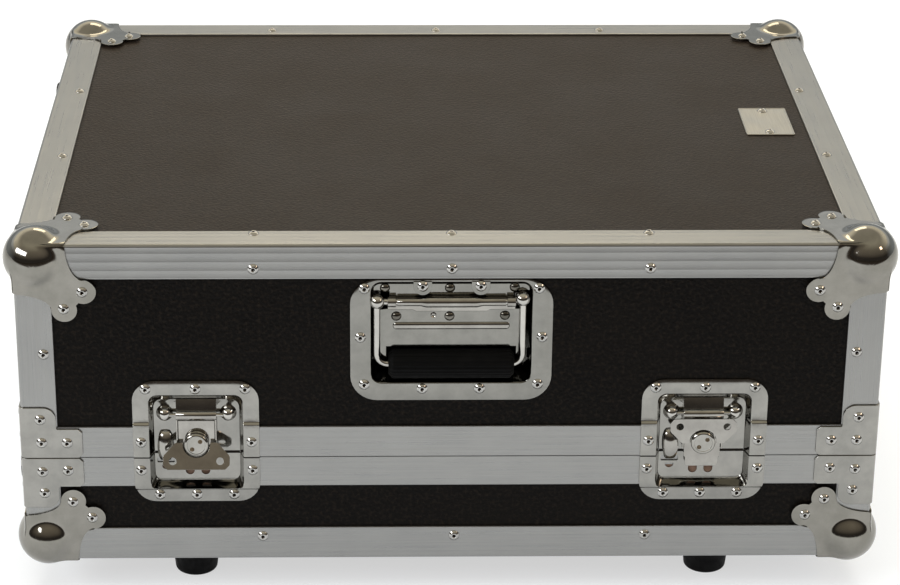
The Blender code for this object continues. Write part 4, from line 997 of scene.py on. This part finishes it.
# %% Hinge tube and knuckles
bm = bmesh.new()
lie = Matrix.Translation((MIDDLE, PIN.y, PIN.z)) @ Matrix.Rotation(math.radians(90), 4, "Y")
tube = [(0.0034, -0.0440), (0.0036, -0.0437), (0.0036, -0.0255), (0.0038, -0.0245), (0.0047, -0.0208),
        (0.0048, -0.0200)]
turned(bm, tube + [(r, -h) for r, h in reversed(tube)], 32, lie)
curl = [(0.0040, 0.0450), (0.0044, 0.0453), (0.0044, 0.0517), (0.0040, 0.0520)]
turned(bm, curl, 32, lie)
turned(bm, [(r, -h) for r, h in reversed(curl)], 32, lie)
for low_x, high_x in ((-0.0517, -0.0453), (-0.0300, 0.0300), (0.0453, 0.0517)):
    outline = [(PIN.y, PIN.z - 0.0022), (PLATE_FACE + 0.0004, PIN.z - 0.0034),
               (PLATE_FACE + 0.0004, PIN.z + 0.0034), (PIN.y, PIN.z + 0.0022)]
    prism(bm, outline, MIDDLE + low_x, MIDDLE + high_x, "x")
half = [(0.0516, PIN.z - 0.0030), (0.0516, PIN.z - 0.0074), (0.0312, PIN.z - 0.0076),
        (0.0288, PIN.z - 0.0090)]
outline = mirrored(half, MIDDLE)
prism(bm, outline, PLATE_FACE - 0.0020, PLATE_FACE - 0.0010)
add("hinge_tube", bm, works_zinc, "lid", angle=40)
# A dark strip just under the leaf's lower edge is painted shadow, not a part of the hinge
bm = bmesh.new()
prism(bm, [(x, z - 0.0007) for x, z in outline], PLATE_FACE - 0.0009, PLATE_FACE - 0.0003)
add("hinge_leaf_painted_shadow", bm, painted_shade_dark, "lid")
print("hinge tube done")

# %% [markdown]
# The bail is one chromed rod: out of the tube, round an elbow that is swollen like a ball, down
# the arm and through the grip. Sweeping a ring along a path by hand keeps the ring square to
# the path at every bend. The whole piece rides on the handle's own body, so it swings.

# %% Bail
def swept(bm, path, radius, sides=20):
    """A round rod along points in a plane of constant y."""
    loops = []
    for k, point in enumerate(path):
        before, after = path[max(k - 1, 0)], path[min(k + 1, len(path) - 1)]
        along = (Vector(after) - Vector(before)).normalized()
        depth = Vector((0, 1, 0))
        across = along.cross(depth)
        ring = []
        for n in range(sides):
            angle = 2 * math.pi * n / sides
            ring.append(Vector(point) + radius * (math.cos(angle) * across + math.sin(angle) * depth))
        loops.append(ring)
    skin(bm, loops)


GRIP_DROP, ROD, ELBOW = 0.0550, 0.0028, 0.0062
ARMS = {-1: (0.0605, 0.0004), 1: (0.0578, 0.0026)}


def half_bail(arm, rise):
    """From the tube's middle round the elbow, which may stand a little high, and down to the grip."""
    points = [(0.010 + 0.0022 * k, 0.0) for k in range(19)] + [(0.0520, rise * 0.6)]
    points += arc((arm - 0.0045, rise - 0.0045), 0.0045, 90, 0, 6)
    points += [(arm, -0.010 - 0.006 * k) for k in range(6)]
    return points + arc((arm - 0.009, -GRIP_DROP + 0.009), 0.009, 0, -90, 10)


whole = half_bail(*ARMS[1]) + [(-a, b) for a, b in reversed(half_bail(*ARMS[-1]))]
bm = bmesh.new()
swept(bm, [(PIN.x + a, PIN.y, PIN.z + b) for a, b in whole], ROD)
turns = [math.radians(a) for a in range(-80, 81, 10)]
ball = [(ELBOW * math.cos(a), ELBOW * math.sin(a)) for a in turns]
for sign, (arm, rise) in ARMS.items():
    centre = Vector((PIN.x + sign * (arm - 0.0003), PIN.y, PIN.z + rise))
    turned(bm, [(0.0001, -ELBOW)] + ball + [(0.0001, ELBOW)], 28, Matrix.Translation(centre))
add("chromed_bail", bm, chrome, "handle", ["handle_bail"], angle=60)
print("bail path has", len(whole), "points")

# %% [markdown]
# The grip is a black rubber sleeve with fine ribs along it, so that a hand doesn't slip round
# it, and its ends are chamfered. The ribs are in the mesh: the sleeve's radius goes up and down
# round its section.

# %% Grip
GRIP_HALF, GRIP_RADIUS, RIBS = 0.0512, 0.0122, 22
rows = [(-GRIP_HALF, 0.62), (-GRIP_HALF, 0.70), (-GRIP_HALF + 0.0004, 0.745),
        (-GRIP_HALF + 0.0028, 0.955), (-GRIP_HALF + 0.0034, 0.985), (-GRIP_HALF + 0.0044, 1.0)]
rows += [(-0.040 + 0.010 * k, 1.0) for k in range(9)] + [(-x, size) for x, size in reversed(rows)]
bm = bmesh.new()
loops = []
for x, size in rows:
    ring = []
    for k in range(RIBS * 6):
        angle = 2 * math.pi * k / (RIBS * 6)
        dip = 0.00055 * (0.5 - 0.5 * math.cos(angle * RIBS)) ** 0.6
        radius = (GRIP_RADIUS - dip * (1 if size > 0.9 else 0.4)) * size
        y, z = PIN.y + radius * math.cos(angle), PIN.z - GRIP_DROP + radius * math.sin(angle)
        ring.append((PIN.x + x, y, z))
    loops.append(ring)
skin(bm, loops)
add("ribbed_grip", bm, grip_rubber, "handle", ["handle_grip"], angle=70)
print("grip:", RIBS, "ribs")

# %% Rivets of the handle
TAB_SEAT = (0.0235, -0.0363)
handle_seats = [TAB_SEAT, (0.0707, -0.0387), (0.0740, -0.0820), (0.0235, -0.1282), (0.0710, -0.1243)]
for x, z in handle_seats:
    out = TAB_OUT if (x, z) == TAB_SEAT else 0
    for sign in (-1, 1):
        seats["lid"].append(((MIDDLE + sign * x, FLANGE - out, TOP + z), AHEAD))
print("handle rivets:", 2 * len(handle_seats))

# %% [markdown]
# ## Latches
#
# A butterfly latch is two half dishes, one riveted to the lid and one to the base. A bracket
# hangs from a pin in the upper half. A hook plate slides on it, drawn by a cam under the hub,
# and its two fingers drop into holes in the lower half. A butterfly wing turns the hub. The
# left latch stands open in the photograph and leans out, and the solid model's joints say by
# how much. So each moving piece is made upright and then placed by its joint's axis.

# %% Shape a half dish
LATCH_FLANGE = FRONT - GAP - SHEET
LATCH_FLOOR = FRONT + 0.0097
PIN_UP = joints["latch_right_swing"]["pos_m"][2] - SEAM
BOSS_X = 0.0262
TAPERS = (0.0029, 0.0031, 0.0068)
SEAM_SLIT = 0.0006


def whole_dish(x):
    outer = (x - 0.052, x + 0.052, SEAM - 0.0414, SEAM + 0.0693)
    mouth = (0.0385, SEAM - 0.0295, SEAM + 0.0560, x)
    return pressed_dish(LATCH_FLANGE, LATCH_FLOOR, outer, mouth, TAPERS, (0.0070, 0.018, 0.0075), 0.0010)


def step_off_rail(bm, up, leg):
    """Lets the flange down from the rail to the board in a smooth step."""
    near, far = leg + 0.0014, leg + 0.0040
    for k in range(7):
        slice_at(bm, (0, 0, SEAM + up * (near + (far - near) * k / 6)), (0, 0, up))
    for vert in bm.verts:
        beyond = min(max((up * (vert.co.z - SEAM) - near) / (far - near), 0), 1)
        if vert.co.y < FRONT + 0.0048:
            vert.co.y += SKIN * beyond * beyond * (3 - 2 * beyond)


def end_at_seam(bm, up):
    """Takes the other half away and closes the cut; the floor stops a little sooner."""
    cut = slice_at(bm, (0, 0, SEAM + up * SEAM_SLIT), (0, 0, -up), clear_outer=True)
    edges = [e for e in cut["geom_cut"] if isinstance(e, bmesh.types.BMEdge)]
    bmesh.ops.contextual_create(bm, geom=edges)
    for vert in bm.verts:
        if vert.co.y > FRONT + 0.0050 and abs(vert.co.z - SEAM) < SEAM_SLIT + 0.00005:
            vert.co.z += up * SEAM_SLIT


# %% Half dishes
KEEPER = 0.0065
KEEPER_HALF = 0.0037


def keeper_holes(x):
    """Two holes for the hook's fingers and a slot under the staple, in the lower floor."""
    outlines = []
    for middle in (x - KEEPER, x + KEEPER):
        top = [(middle + KEEPER_HALF, SEAM - 0.0109), (middle - KEEPER_HALF, SEAM - 0.0109)]
        outlines.append(top + arc((middle, SEAM - 0.0210 + KEEPER_HALF), KEEPER_HALF, 180, 360, 12))
    outlines.append(arc((x - BOSS_X, SEAM - 0.0125), 0.0036, 180, 360, 12)
                    + [(x - 0.0226, SEAM - 0.0118), (x - 0.0298, SEAM - 0.0118)])
    outlines.append(rounded(x - 0.0335, x - 0.0189, SEAM - 0.0098, SEAM - 0.0045, 0.0012, 3))
    bm = bmesh.new()
    for outline in outlines:
        prism(bm, outline, LATCH_FLOOR - 0.001, LATCH_FLOOR + 0.002)
    return bm


def behind_floor(name, x, sides, levels, turn, depth, material):
    """A thin sheet behind the lower floor, seen through its holes and slits."""
    bm = bmesh.new()
    outline = rounded(x + sides[0], x + sides[1], SEAM + levels[0], SEAM + levels[1], turn, 2)
    prism(bm, outline, LATCH_FLOOR + depth, LATCH_FLOOR + depth + 0.0004)
    add(name, bm, material, "base")


def latch_dish(side, x):
    for part, half, up, leg in (("lid", "upper", 1, LID_LEG), ("base", "lower", -1, BASE_LEG)):
        bm = whole_dish(x)
        step_off_rail(bm, up, leg)
        end_at_seam(bm, up)
        name = f"latch_{side}_{half}_dish"
        dish = add("pressed_" + name, bm, zinc, part, [name], angle=40)
    # The loop ends with the lower dish, which has the holes
    carve(dish, keeper_holes(x))
    behind_floor(f"latch_{side}_keeper_wood", x, (-0.034, 0.014), (-0.024, -0.0035), 0.001, 0.0017,
                 bare_wood)
    # The near-black strip behind the seam slit is painted shade, seen through the slit
    behind_floor(f"latch_{side}_painted_shade_strip", x, (-0.0350, 0.0350), (-0.0030, 0.0016), 0.0008, 0.00102,
                 painted_shade_dark)


SIDES = (("left", MIDDLE - LATCH_X), ("right", MIDDLE + LATCH_X))
for side, x in SIDES:
    latch_dish(side, x)
print("latches at x", [round(x, 4) for _, x in SIDES])


# %% Bosses, pin and staple
def boss(bm, x, z):
    """A dome pressed out of the floor, with a flared foot."""
    rows = [(1.16, -0.0004), (1.16, 0.0001), (1.07, 0.0006), (1.01, 0.0014)]
    domed = [math.radians(a) for a in range(12, 90, 11)]
    rows += [(math.cos(a), 0.0014 + 0.0060 * math.sin(a)) for a in domed]
    loops = []
    for size, out in rows:
        oval = arc((x, z), (0.0060 * size, 0.0064 * size), 0, 350, 35)
        loops.append([(a, LATCH_FLOOR - out, b) for a, b in oval])
    skin(bm, loops)


def staple(bm, x):
    """A strap bent into a bow, for a padlock: narrow at its ends and crowned across its width."""
    centre, half = (LATCH_FLOOR + 0.0002, SEAM + 0.0065), 0.0142
    outer = arc(centre, (0.0070, half), 90, 270, 28)
    inner = arc(centre, (0.0055, half - 0.0013), 270, 90, 28)
    loops = []
    for across in (-1.0, -0.95, -0.75, -0.4, 0.0, 0.4, 0.75, 0.95, 1.0):
        squeeze = 1 - 0.34 * across * across
        loop = []
        for strip in (outer, inner):
            for k, (y, z) in enumerate(strip):
                wide = 0.0020 + 0.0044 * math.sin(math.pi * k / 28)
                loop.append((x + across * wide, centre[0] + (y - centre[0]) * squeeze, z))
        loops.append(loop)
    skin(bm, loops)


def stop_plate(bm, x):
    """A bent sheet above the pin that the bracket's roll turns against."""
    section = [(0.0046, 0.0385), (0.0052, 0.0408), (0.0066, 0.0456), (0.0078, 0.0492), (0.0096, 0.0492),
               (0.0096, 0.0385)]
    prism(bm, [(FRONT + a, SEAM + b) for a, b in section], x - 0.0166, x + 0.0166, "x")


for side, x in SIDES:
    bm = bmesh.new()
    for offset in (-BOSS_X, BOSS_X):
        boss(bm, x + offset, SEAM + PIN_UP)
    lie = Matrix.Translation((x, FRONT + 0.0054, SEAM + PIN_UP)) @ Matrix.Rotation(math.radians(90), 4, "Y")
    turned(bm, [(0.0016, -BOSS_X), (0.0016, BOSS_X)], 20, lie)
    add(f"latch_{side}_bosses", bm, chrome, "lid", angle=60)
    bm = bmesh.new()
    staple(bm, x - BOSS_X)
    add(f"latch_{side}_staple", bm, works_zinc, "lid", angle=50)
    bm = bmesh.new()
    stop_plate(bm, x)
    add(f"latch_{side}_stop_plate", bm, works_zinc, "lid", bevel=0.0002)
print("bosses, staples and stop plates done")


# %% Places of the moving pieces
def leaning(side, joint):
    """A matrix on a joint of one latch, with its y axis along the hub's axis."""
    inward = Vector(joints[f"latch_{side}_turn"]["axis"])
    if inward.y < 0:
        inward = -inward
    right = Vector((1, 0, 0))
    turn = Matrix((right, inward, right.cross(inward))).transposed().to_4x4()
    return Matrix.Translation(joints[f"latch_{side}_{joint}"]["pos_m"]) @ turn


def moved(bm, place):
    for vert in bm.verts:
        vert.co = place @ vert.co
    return bm


def add_works(side, name, bm, carrier, nodes=(), bevel=0.0, angle=35):
    """A plated piece of a latch that rides on one of the latch's own bodies."""
    return add(f"plated_latch_{side}_{name}", bm, works_zinc, f"{side}_{carrier}",
               nodes, bevel, angle)


for side, _ in SIDES:
    print(side, "hub at", [round(v, 4) for v in leaning(side, "turn").translation])


# %% Brackets
def bracket():
    bm = bmesh.new()
    channel = [(-0.0166, -0.0020), (-0.0154, -0.0020), (-0.0154, 0.0012), (0.0154, 0.0012),
               (0.0154, -0.0020), (0.0166, -0.0020), (0.0166, 0.0024), (-0.0166, 0.0024)]
    prism(bm, channel, -0.0322, -0.0030, "z")
    return bm


def barrel():
    """The rolled top of the bracket: round above the pin and drawn out below it."""
    section = arc((0, 0), (0.0041, 0.0041), 0, 180, 18) + arc((0, 0), (0.0041, 0.0046), 180, 360, 26)[1:-1]
    bm = bmesh.new()
    rows = ((-0.0165, 0.90), (-0.0165, 0.95), (-0.0162, 1.0), (0.0162, 1.0), (0.0165, 0.95), (0.0165, 0.90))
    skin(bm, [[(x, a * size, b * size) for a, b in section] for x, size in rows])
    return bm


for side, _ in SIDES:
    place = leaning(side, "swing")
    add_works(side, "bracket", moved(bracket(), place), "bracket", [f"latch_{side}_bracket"], bevel=0.0003)
    add_works(side, "barrel", moved(barrel(), place), "bracket", angle=50)
print("brackets done")


# %% Hook plates
def hook():
    """Relative to the hub's axis: a plate with a narrowed foot and two fingers turned in."""
    foot_arc = arc((0.0108, -0.0216), 0.0030, -90, 0, 6)
    bm = bmesh.new()
    prism(bm, mirrored(foot_arc + [(0.0139, -0.0165), (0.0150, -0.0148), (0.0150, 0.0190)]), 0.0050, 0.0062)
    for x in (-KEEPER, KEEPER):
        left, right = x - 0.0032, x + 0.0032
        finger = [(left, -0.02455), (right, -0.02455), (right, -0.0234), (left, -0.0234)]
        prism(bm, finger, 0.0056, 0.0093)
    return bm


for side, _ in SIDES:
    plate = moved(hook(), leaning(side, "turn"))
    add_works(side, "hook", plate, "hook", [f"latch_{side}_hook"], bevel=0.0003)
print("hooks done")

# %% [markdown]
# A hub is turned from one profile. The two small holes in its face are only dark marks of painted
# shade here, thin discs that stand a hair proud, because nobody can look into them at this size.

# %% Hubs
HUB = [(0.0040, -0.0082), (0.0040, -0.0047), (0.0098, -0.0047), (0.0102, -0.0044), (0.0102, -0.0034),
       (0.0099, -0.0030), (0.0095, -0.0028), (0.0094, -0.0024), (0.0095, -0.0020), (0.0099, -0.0018),
       (0.0102, -0.0014), (0.0102, 0.0008), (0.0101, 0.0015), (0.0098, 0.0021), (0.0093, 0.0026),
       (0.0086, 0.0029), (0.0080, 0.0030), (0.0075, 0.0029), (0.0073, 0.0026), (0.0001, 0.0026)]
HUB_FACE = -HUB[-1][1]
MARK = [(0.0019, -0.0004), (0.0019, 0.00002), (0.0017, 0.00004), (0.0001, 0.00004)]
OUTWARD = Matrix.Rotation(math.radians(90), 4, "X")
for side, _ in SIDES:
    place = leaning(side, "turn")
    bm = bmesh.new()
    turned(bm, HUB, 48, place @ OUTWARD)
    add(f"chromed_latch_{side}_hub", bm, hub_chrome, side + "_hub", [f"latch_{side}_hub"],
        angle=45)
    bm = bmesh.new()
    for a in (-0.0034, 0.0033):
        turned(bm, MARK, 20, place @ Matrix.Translation((a, HUB_FACE, a)) @ OUTWARD)
    add(f"latch_{side}_hub_holes", bm, hub_hole_painted_shade, side + "_hub")
print("hubs done")


# %% Butterfly wings
def wing(turn):
    """Relative to its fold axis, with its free edge towards turn: 1 up, -1 down."""
    mouth = arc((0, 0), 0.0113, -6.5, 186.5, 28)
    side = [(0.0166, -0.0012), (0.0178, -0.0006), (0.0268, 0.0090), (0.0275, 0.0106), (0.0275, 0.0168),
            (0.0271, 0.0178), (0.0246, 0.0204), (0.0236, 0.0211)]
    outline = mirrored(side) + mouth[::-1]
    bm = bmesh.new()
    prism(bm, [(x, turn * z) for x, z in outline], -SHEET / 2, SHEET / 2)
    return bm


for side, turn in (("left", -1), ("right", 1)):
    unfolded = -joints[f"latch_{side}_fold"]["range_deg"][0]
    place = leaning(side, "fold") @ Matrix.Rotation(math.radians(turn * unfolded), 4, "X")
    flat = moved(wing(turn), place)
    piece = add_works(side, "wing", flat, "wing", [f"latch_{side}_wing"], bevel=0.00025)
    holes = bmesh.new()
    for x in (-0.0195, 0.0195):
        prism(holes, arc((x, turn * 0.0141), 0.0031, 0, 345, 23), -0.002, 0.002)
    carve(piece, moved(holes, place))
    print(piece.name, "unfolded by", unfolded)

# %% Rivets of the latches
LATCH_SEATS = (((0.0, -0.0408, 0.0408), 0.0620, -SKIN, "lid"), ((-0.0455, 0.0455), 0.0143, 0, "lid"),
               ((-0.0460, 0.0460), -0.0115, 0, "base"), ((-0.0314, -0.0006, 0.0302), -0.0350, -SKIN, "base"))
for _, x in SIDES:
    for offsets, b, out, part in LATCH_SEATS:
        for a in offsets:
            seats[part].append(((x + a, LATCH_FLANGE - out, SEAM + b), AHEAD))
for part, places in seats.items():
    bm = bmesh.new()
    for point, out in places:
        rivet(bm, point, out)
    add(part + "_rivets", bm, (rivet_metal, painted_shade_dark), part, angle=60)
    print(part, "has", len(places), "rivets")

# %% [markdown]
# ## Feet
#
# The case stands on four tall rubber feet, and the left end has low ones, so that it can be
# stood on its end. Each is turned rubber with a screw in a cup in the middle of its sole.

# %% Rubber feet
def foot_profile(radius, toe, tall):
    """From the root outwards: flank, round toe, sole, and the cup for the screw."""
    turn = 0.003
    corner = [math.radians(a) for a in range(0, 91, 15)]
    points = [(radius, 0.0), (radius, 0.0012), (radius - 0.0006, 0.002)]
    points += [(toe - turn + turn * math.cos(a), tall - turn + turn * math.sin(a)) for a in corner]
    return points + [(0.0075, tall), (0.0068, tall - 0.0008), (0.0060, tall - 0.0050), (0.0001, tall - 0.005)]


SCREW = [(0.0056, 0.0), (0.0056, 0.0006), (0.0044, 0.0009), (0.0042, 0.0014), (0.0034, 0.0024),
         (0.0018, 0.0029), (0.0001, 0.0030)]
FOOT_TOE, END_FOOT_TOE, END_FOOT_PROUD = 0.018, 0.016, 0.0016


def foot(name, body, out, toe, proud=0.0):
    low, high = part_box(name)
    middle = (low + high) / 2
    deep = (high - low).z if out[2] else (high - low).x
    radius = (high - low).y / 2
    root = Vector(middle) - Vector(out) * deep / 2
    tall = deep + proud
    bm = bmesh.new()
    turned(bm, foot_profile(radius, toe, tall), 48, facing(root, out))
    add("turned_" + name, bm, foot_rubber, body, [name], angle=50)
    bm = bmesh.new()
    turned(bm, SCREW, 24, facing(root + Vector(out) * (tall - 0.0051), out))
    add(name + "_screw", bm, rivet_metal, body, angle=50)


for name in sorted(frame["nodes"]):
    if name.startswith("foot_"):
        foot(name, "base", DOWN, FOOT_TOE)
    elif "_end_foot_" in name:
        foot(name, name.split("_")[0], (-1, 0, 0), END_FOOT_TOE, END_FOOT_PROUD)
print("feet done")

# %% [markdown]
# ## Foam
#
# Both halves are lined with sheets of dark foam, glued in one after another. Cut foam has
# rounded edges and a slightly crowned face, so each sheet is a box whose faces are divided and
# pushed out a little in the middle. The lid's front sheet is cut away behind the handle's dish.

# %% Foam linings
def foam_sheet(bm, low, high, thin, crown=0.0010):
    """A sheet between two corners; thin is the axis of its thickness, 0, 1 or 2."""
    sheet = bmesh.new()
    bmesh.ops.create_cube(sheet, size=1)
    for vert in sheet.verts:
        vert.co = [a + (b - a) * (v + 0.5) for v, a, b in zip(vert.co, low, high)]
    bmesh.ops.bevel(sheet, geom=sheet.edges[:], offset=0.0025, segments=3, affect="EDGES", profile=0.5)
    long_edges = [e for e in sheet.edges if e.calc_length() > 0.05]
    bmesh.ops.subdivide_edges(sheet, edges=long_edges, cuts=14, use_grid_fill=True)
    centre = [(a + b) / 2 for a, b in zip(low, high)]
    half = [(b - a) / 2 for a, b in zip(low, high)]
    for vert in sheet.verts:
        share = 1.0
        for axis in range(3):
            if axis != thin:
                share *= 1 - ((vert.co[axis] - centre[axis]) / half[axis]) ** 6
        depth = (vert.co[thin] - centre[thin]) / half[thin]
        vert.co[thin] += crown * (share - 1) * depth
    mesh = bpy.data.meshes.new("sheet")
    sheet.to_mesh(mesh)
    sheet.free()
    bm.from_mesh(mesh)
    bpy.data.meshes.remove(mesh)


def foam_tray(part, up, flat, wall):
    low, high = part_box(part + "_foam")
    bm = bmesh.new()
    near, far = (low.z, high.z - flat) if up > 0 else (low.z + flat, high.z)
    flat_low, flat_high = (high.z - flat, high.z) if up > 0 else (low.z, low.z + flat)
    foam_sheet(bm, (low.x, low.y, flat_low), (high.x, high.y, flat_high), 2)
    foam_sheet(bm, (low.x, low.y, near), (high.x, low.y + wall, far), 1)
    foam_sheet(bm, (low.x, high.y - wall, near), (high.x, high.y, far), 1)
    foam_sheet(bm, (low.x, low.y + wall, near), (low.x + wall, high.y - wall, far), 0)
    foam_sheet(bm, (high.x - wall, low.y + wall, near), (high.x, high.y - wall, far), 0)
    tray = add(part + "_foam_lining", bm, foam_grey, part, [part + "_foam"], angle=60)
    if part == "lid":
        pocket = bmesh.new()
        half = MOUTH_HALF + SHEET + GAP
        low_edge, high_edge = MOUTH_LOW - SHEET - GAP, MOUTH_HIGH + SHEET + GAP
        outline = [(MIDDLE - half, low_edge), (MIDDLE + half, low_edge), (MIDDLE + half, high_edge),
                   (MIDDLE - half, high_edge)]
        prism(pocket, outline, FRONT, HANDLE_FLOOR + 2 * SHEET)
        carve(tray, pocket)
    print(tray.name, "has", len(tray.data.polygons), "faces")


FOAM_FLAT, FOAM_WALL = 0.020, 0.012
foam_tray("lid", 1, FOAM_FLAT, FOAM_WALL)
foam_tray("base", -1, FOAM_FLAT, FOAM_WALL)

# %% [markdown]
# ## Floor, room and lamps
#
# Polished steel shows the room around it more than its own colour. The floor is pale, so the
# upright faces, which look down at it from this camera, come out light. The room above is a
# brownish grey, which gives the balls their dark caps, and soft lamps put highlights in them.
# The camera, and every mirror, sees the floor as nearly white, and the shadow stays on it.

# %% Nodes for the floor and the room
def maths(tree, operation, first, second):
    """A Math node; each input is a socket or a number."""
    node = tree.nodes.new("ShaderNodeMath")
    node.operation = operation
    for socket, value in zip(node.inputs, (first, second)):
        if isinstance(value, float):
            socket.default_value = value
        else:
            tree.links.new(value, socket)
    return node.outputs[0]


def axes_of(tree, coordinates):
    where = tree.nodes.new("ShaderNodeTexCoord")
    split = tree.nodes.new("ShaderNodeSeparateXYZ")
    tree.links.new(where.outputs[coordinates], split.inputs["Vector"])
    return split.outputs


# %% Floor
bm = bmesh.new()
rings = [0.0, 0.4, 0.8, 1.4, 2.4, 4.0, 7.0, 12.0]
turned(bm, [(max(r, 0.001), -0.00001 * k) for k, r in enumerate(rings)], 48)
mesh = bpy.data.meshes.new("floor")
bm.to_mesh(mesh)
bm.free()
floor = bpy.data.objects.new("floor", mesh)
bpy.context.collection.objects.link(floor)
floor_paint, tree, shader = finish("floor_paint", specular=0.1)
shader.inputs["Roughness"].default_value = 0.9
shader.inputs["Emission Color"].default_value = (1, 1, 1, 1)
MIRRORED, GLOW = 0.80, 0.60
rays = tree.nodes.new("ShaderNodeLightPath").outputs
near_case = spread(tree, axes_of(tree, "Object")["Y"], 0, 1, -1.55, -1.2)
paper = maths(tree, "MAXIMUM", near_case, rays["Is Camera Ray"])
tone = spread(tree, noise(tree, 3, detail=4.0), 0, 1)
paint = two_colours(tree, tone, (0.36, 0.385, 0.42), (0.38, 0.405, 0.44))
tree.links.new(two_colours(tree, paper, (0.06, 0.05, 0.045), paint), shader.inputs["Base Color"])
seen = maths(tree, "MAXIMUM", rays["Is Camera Ray"], maths(tree, "MULTIPLY", rays["Is Glossy Ray"], MIRRORED))
glow = maths(tree, "MULTIPLY", maths(tree, "MULTIPLY", seen, paper), GLOW)
tree.links.new(glow, shader.inputs["Emission Strength"])
mesh.materials.append(floor_paint)
print("floor out to", rings[-1], "m")

# %% Room
world = bpy.data.worlds.new("room")
bpy.context.scene.world = world
world.use_nodes = True
tree = world.node_tree
tree.nodes.clear()
toward = axes_of(tree, "Generated")


def gradient(stops):
    ramp = tree.nodes.new("ShaderNodeValToRGB")
    while len(ramp.color_ramp.elements) < len(stops):
        ramp.color_ramp.elements.new(0.5)
    for element, (place, colour) in zip(ramp.color_ramp.elements, stops):
        element.position = place
        element.color = (*colour, 1)
    tree.links.new(toward["Z"], ramp.inputs["Fac"])
    return ramp.outputs["Color"]


# Towards the camera's side the room is dim, and behind the case it is paler
near_side = gradient([(0.0, (0.07, 0.062, 0.055)), (0.12, (0.055, 0.047, 0.040)),
                      (0.35, (0.24, 0.205, 0.160)), (0.60, (0.36, 0.31, 0.235)),
                      (0.85, (0.66, 0.60, 0.46)), (1.0, (0.56, 0.51, 0.40))])
far_side = gradient([(0.0, (0.42, 0.445, 0.46)), (0.305, (0.44, 0.46, 0.46)), (0.350, (0.90, 0.92, 0.92)),
                     (0.42, (0.92, 0.93, 0.92)), (0.50, (1.50, 1.36, 1.06)), (0.64, (1.44, 1.30, 1.02)),
                     (0.78, (0.62, 0.56, 0.45)), (1.0, (0.56, 0.51, 0.40))])
room = two_colours(tree, spread(tree, toward["Y"], 0, 1, -0.35, 0.35), near_side, far_side)
camera_ray = tree.nodes.new("ShaderNodeLightPath").outputs["Is Camera Ray"]
sky = tree.nodes.new("ShaderNodeBackground")
tree.links.new(two_colours(tree, camera_ray, room, (1.0, 1.0, 1.0)), sky.inputs["Color"])
output = tree.nodes.new("ShaderNodeOutputWorld")
tree.links.new(sky.outputs["Background"], output.inputs["Surface"])
print("room has", len(tree.nodes), "nodes")


# %% Lamps
def soft_box(name, place, target, size, watts, colour, in_metal=True):
    lamp = bpy.data.lights.new(name, "AREA")
    lamp.shape = "RECTANGLE"
    lamp.size, lamp.size_y = size
    lamp.energy = watts
    lamp.color = colour
    box = bpy.data.objects.new(name, lamp)
    bpy.context.collection.objects.link(box)
    place, target = Vector(place), Vector(target)
    turn = (target - place).to_track_quat("-Z", "Y").to_matrix().to_4x4()
    box.matrix_world = Matrix.Translation(place) @ turn
    box.visible_glossy = in_metal


CENTRE = (0.0, 0.0, 0.2)
soft_box("overhead", (0.0, 0.5, 2.6), CENTRE, (2.4, 1.8), 62, (1.0, 0.93, 0.82), False)
soft_box("high_window", (0.0, 1.9, 2.1), CENTRE, (1.1, 0.6), 8, (1.0, 0.86, 0.62))
soft_box("window_left", (-1.95, -1.5, 1.45), CENTRE, (1.9, 0.55), 30, (0.97, 0.98, 1.0))
soft_box("small_right", (1.9, -1.3, 1.6), CENTRE, (0.35, 0.35), 3, (1.0, 0.75, 0.55))
soft_box("floor_light", (0.0, -1.6, 2.3), (0.0, -1.2, 0.0), (2.0, 1.0), 20, (0.97, 0.99, 1.0), False)
print("lamps:", [lamp.name for lamp in bpy.data.lights])
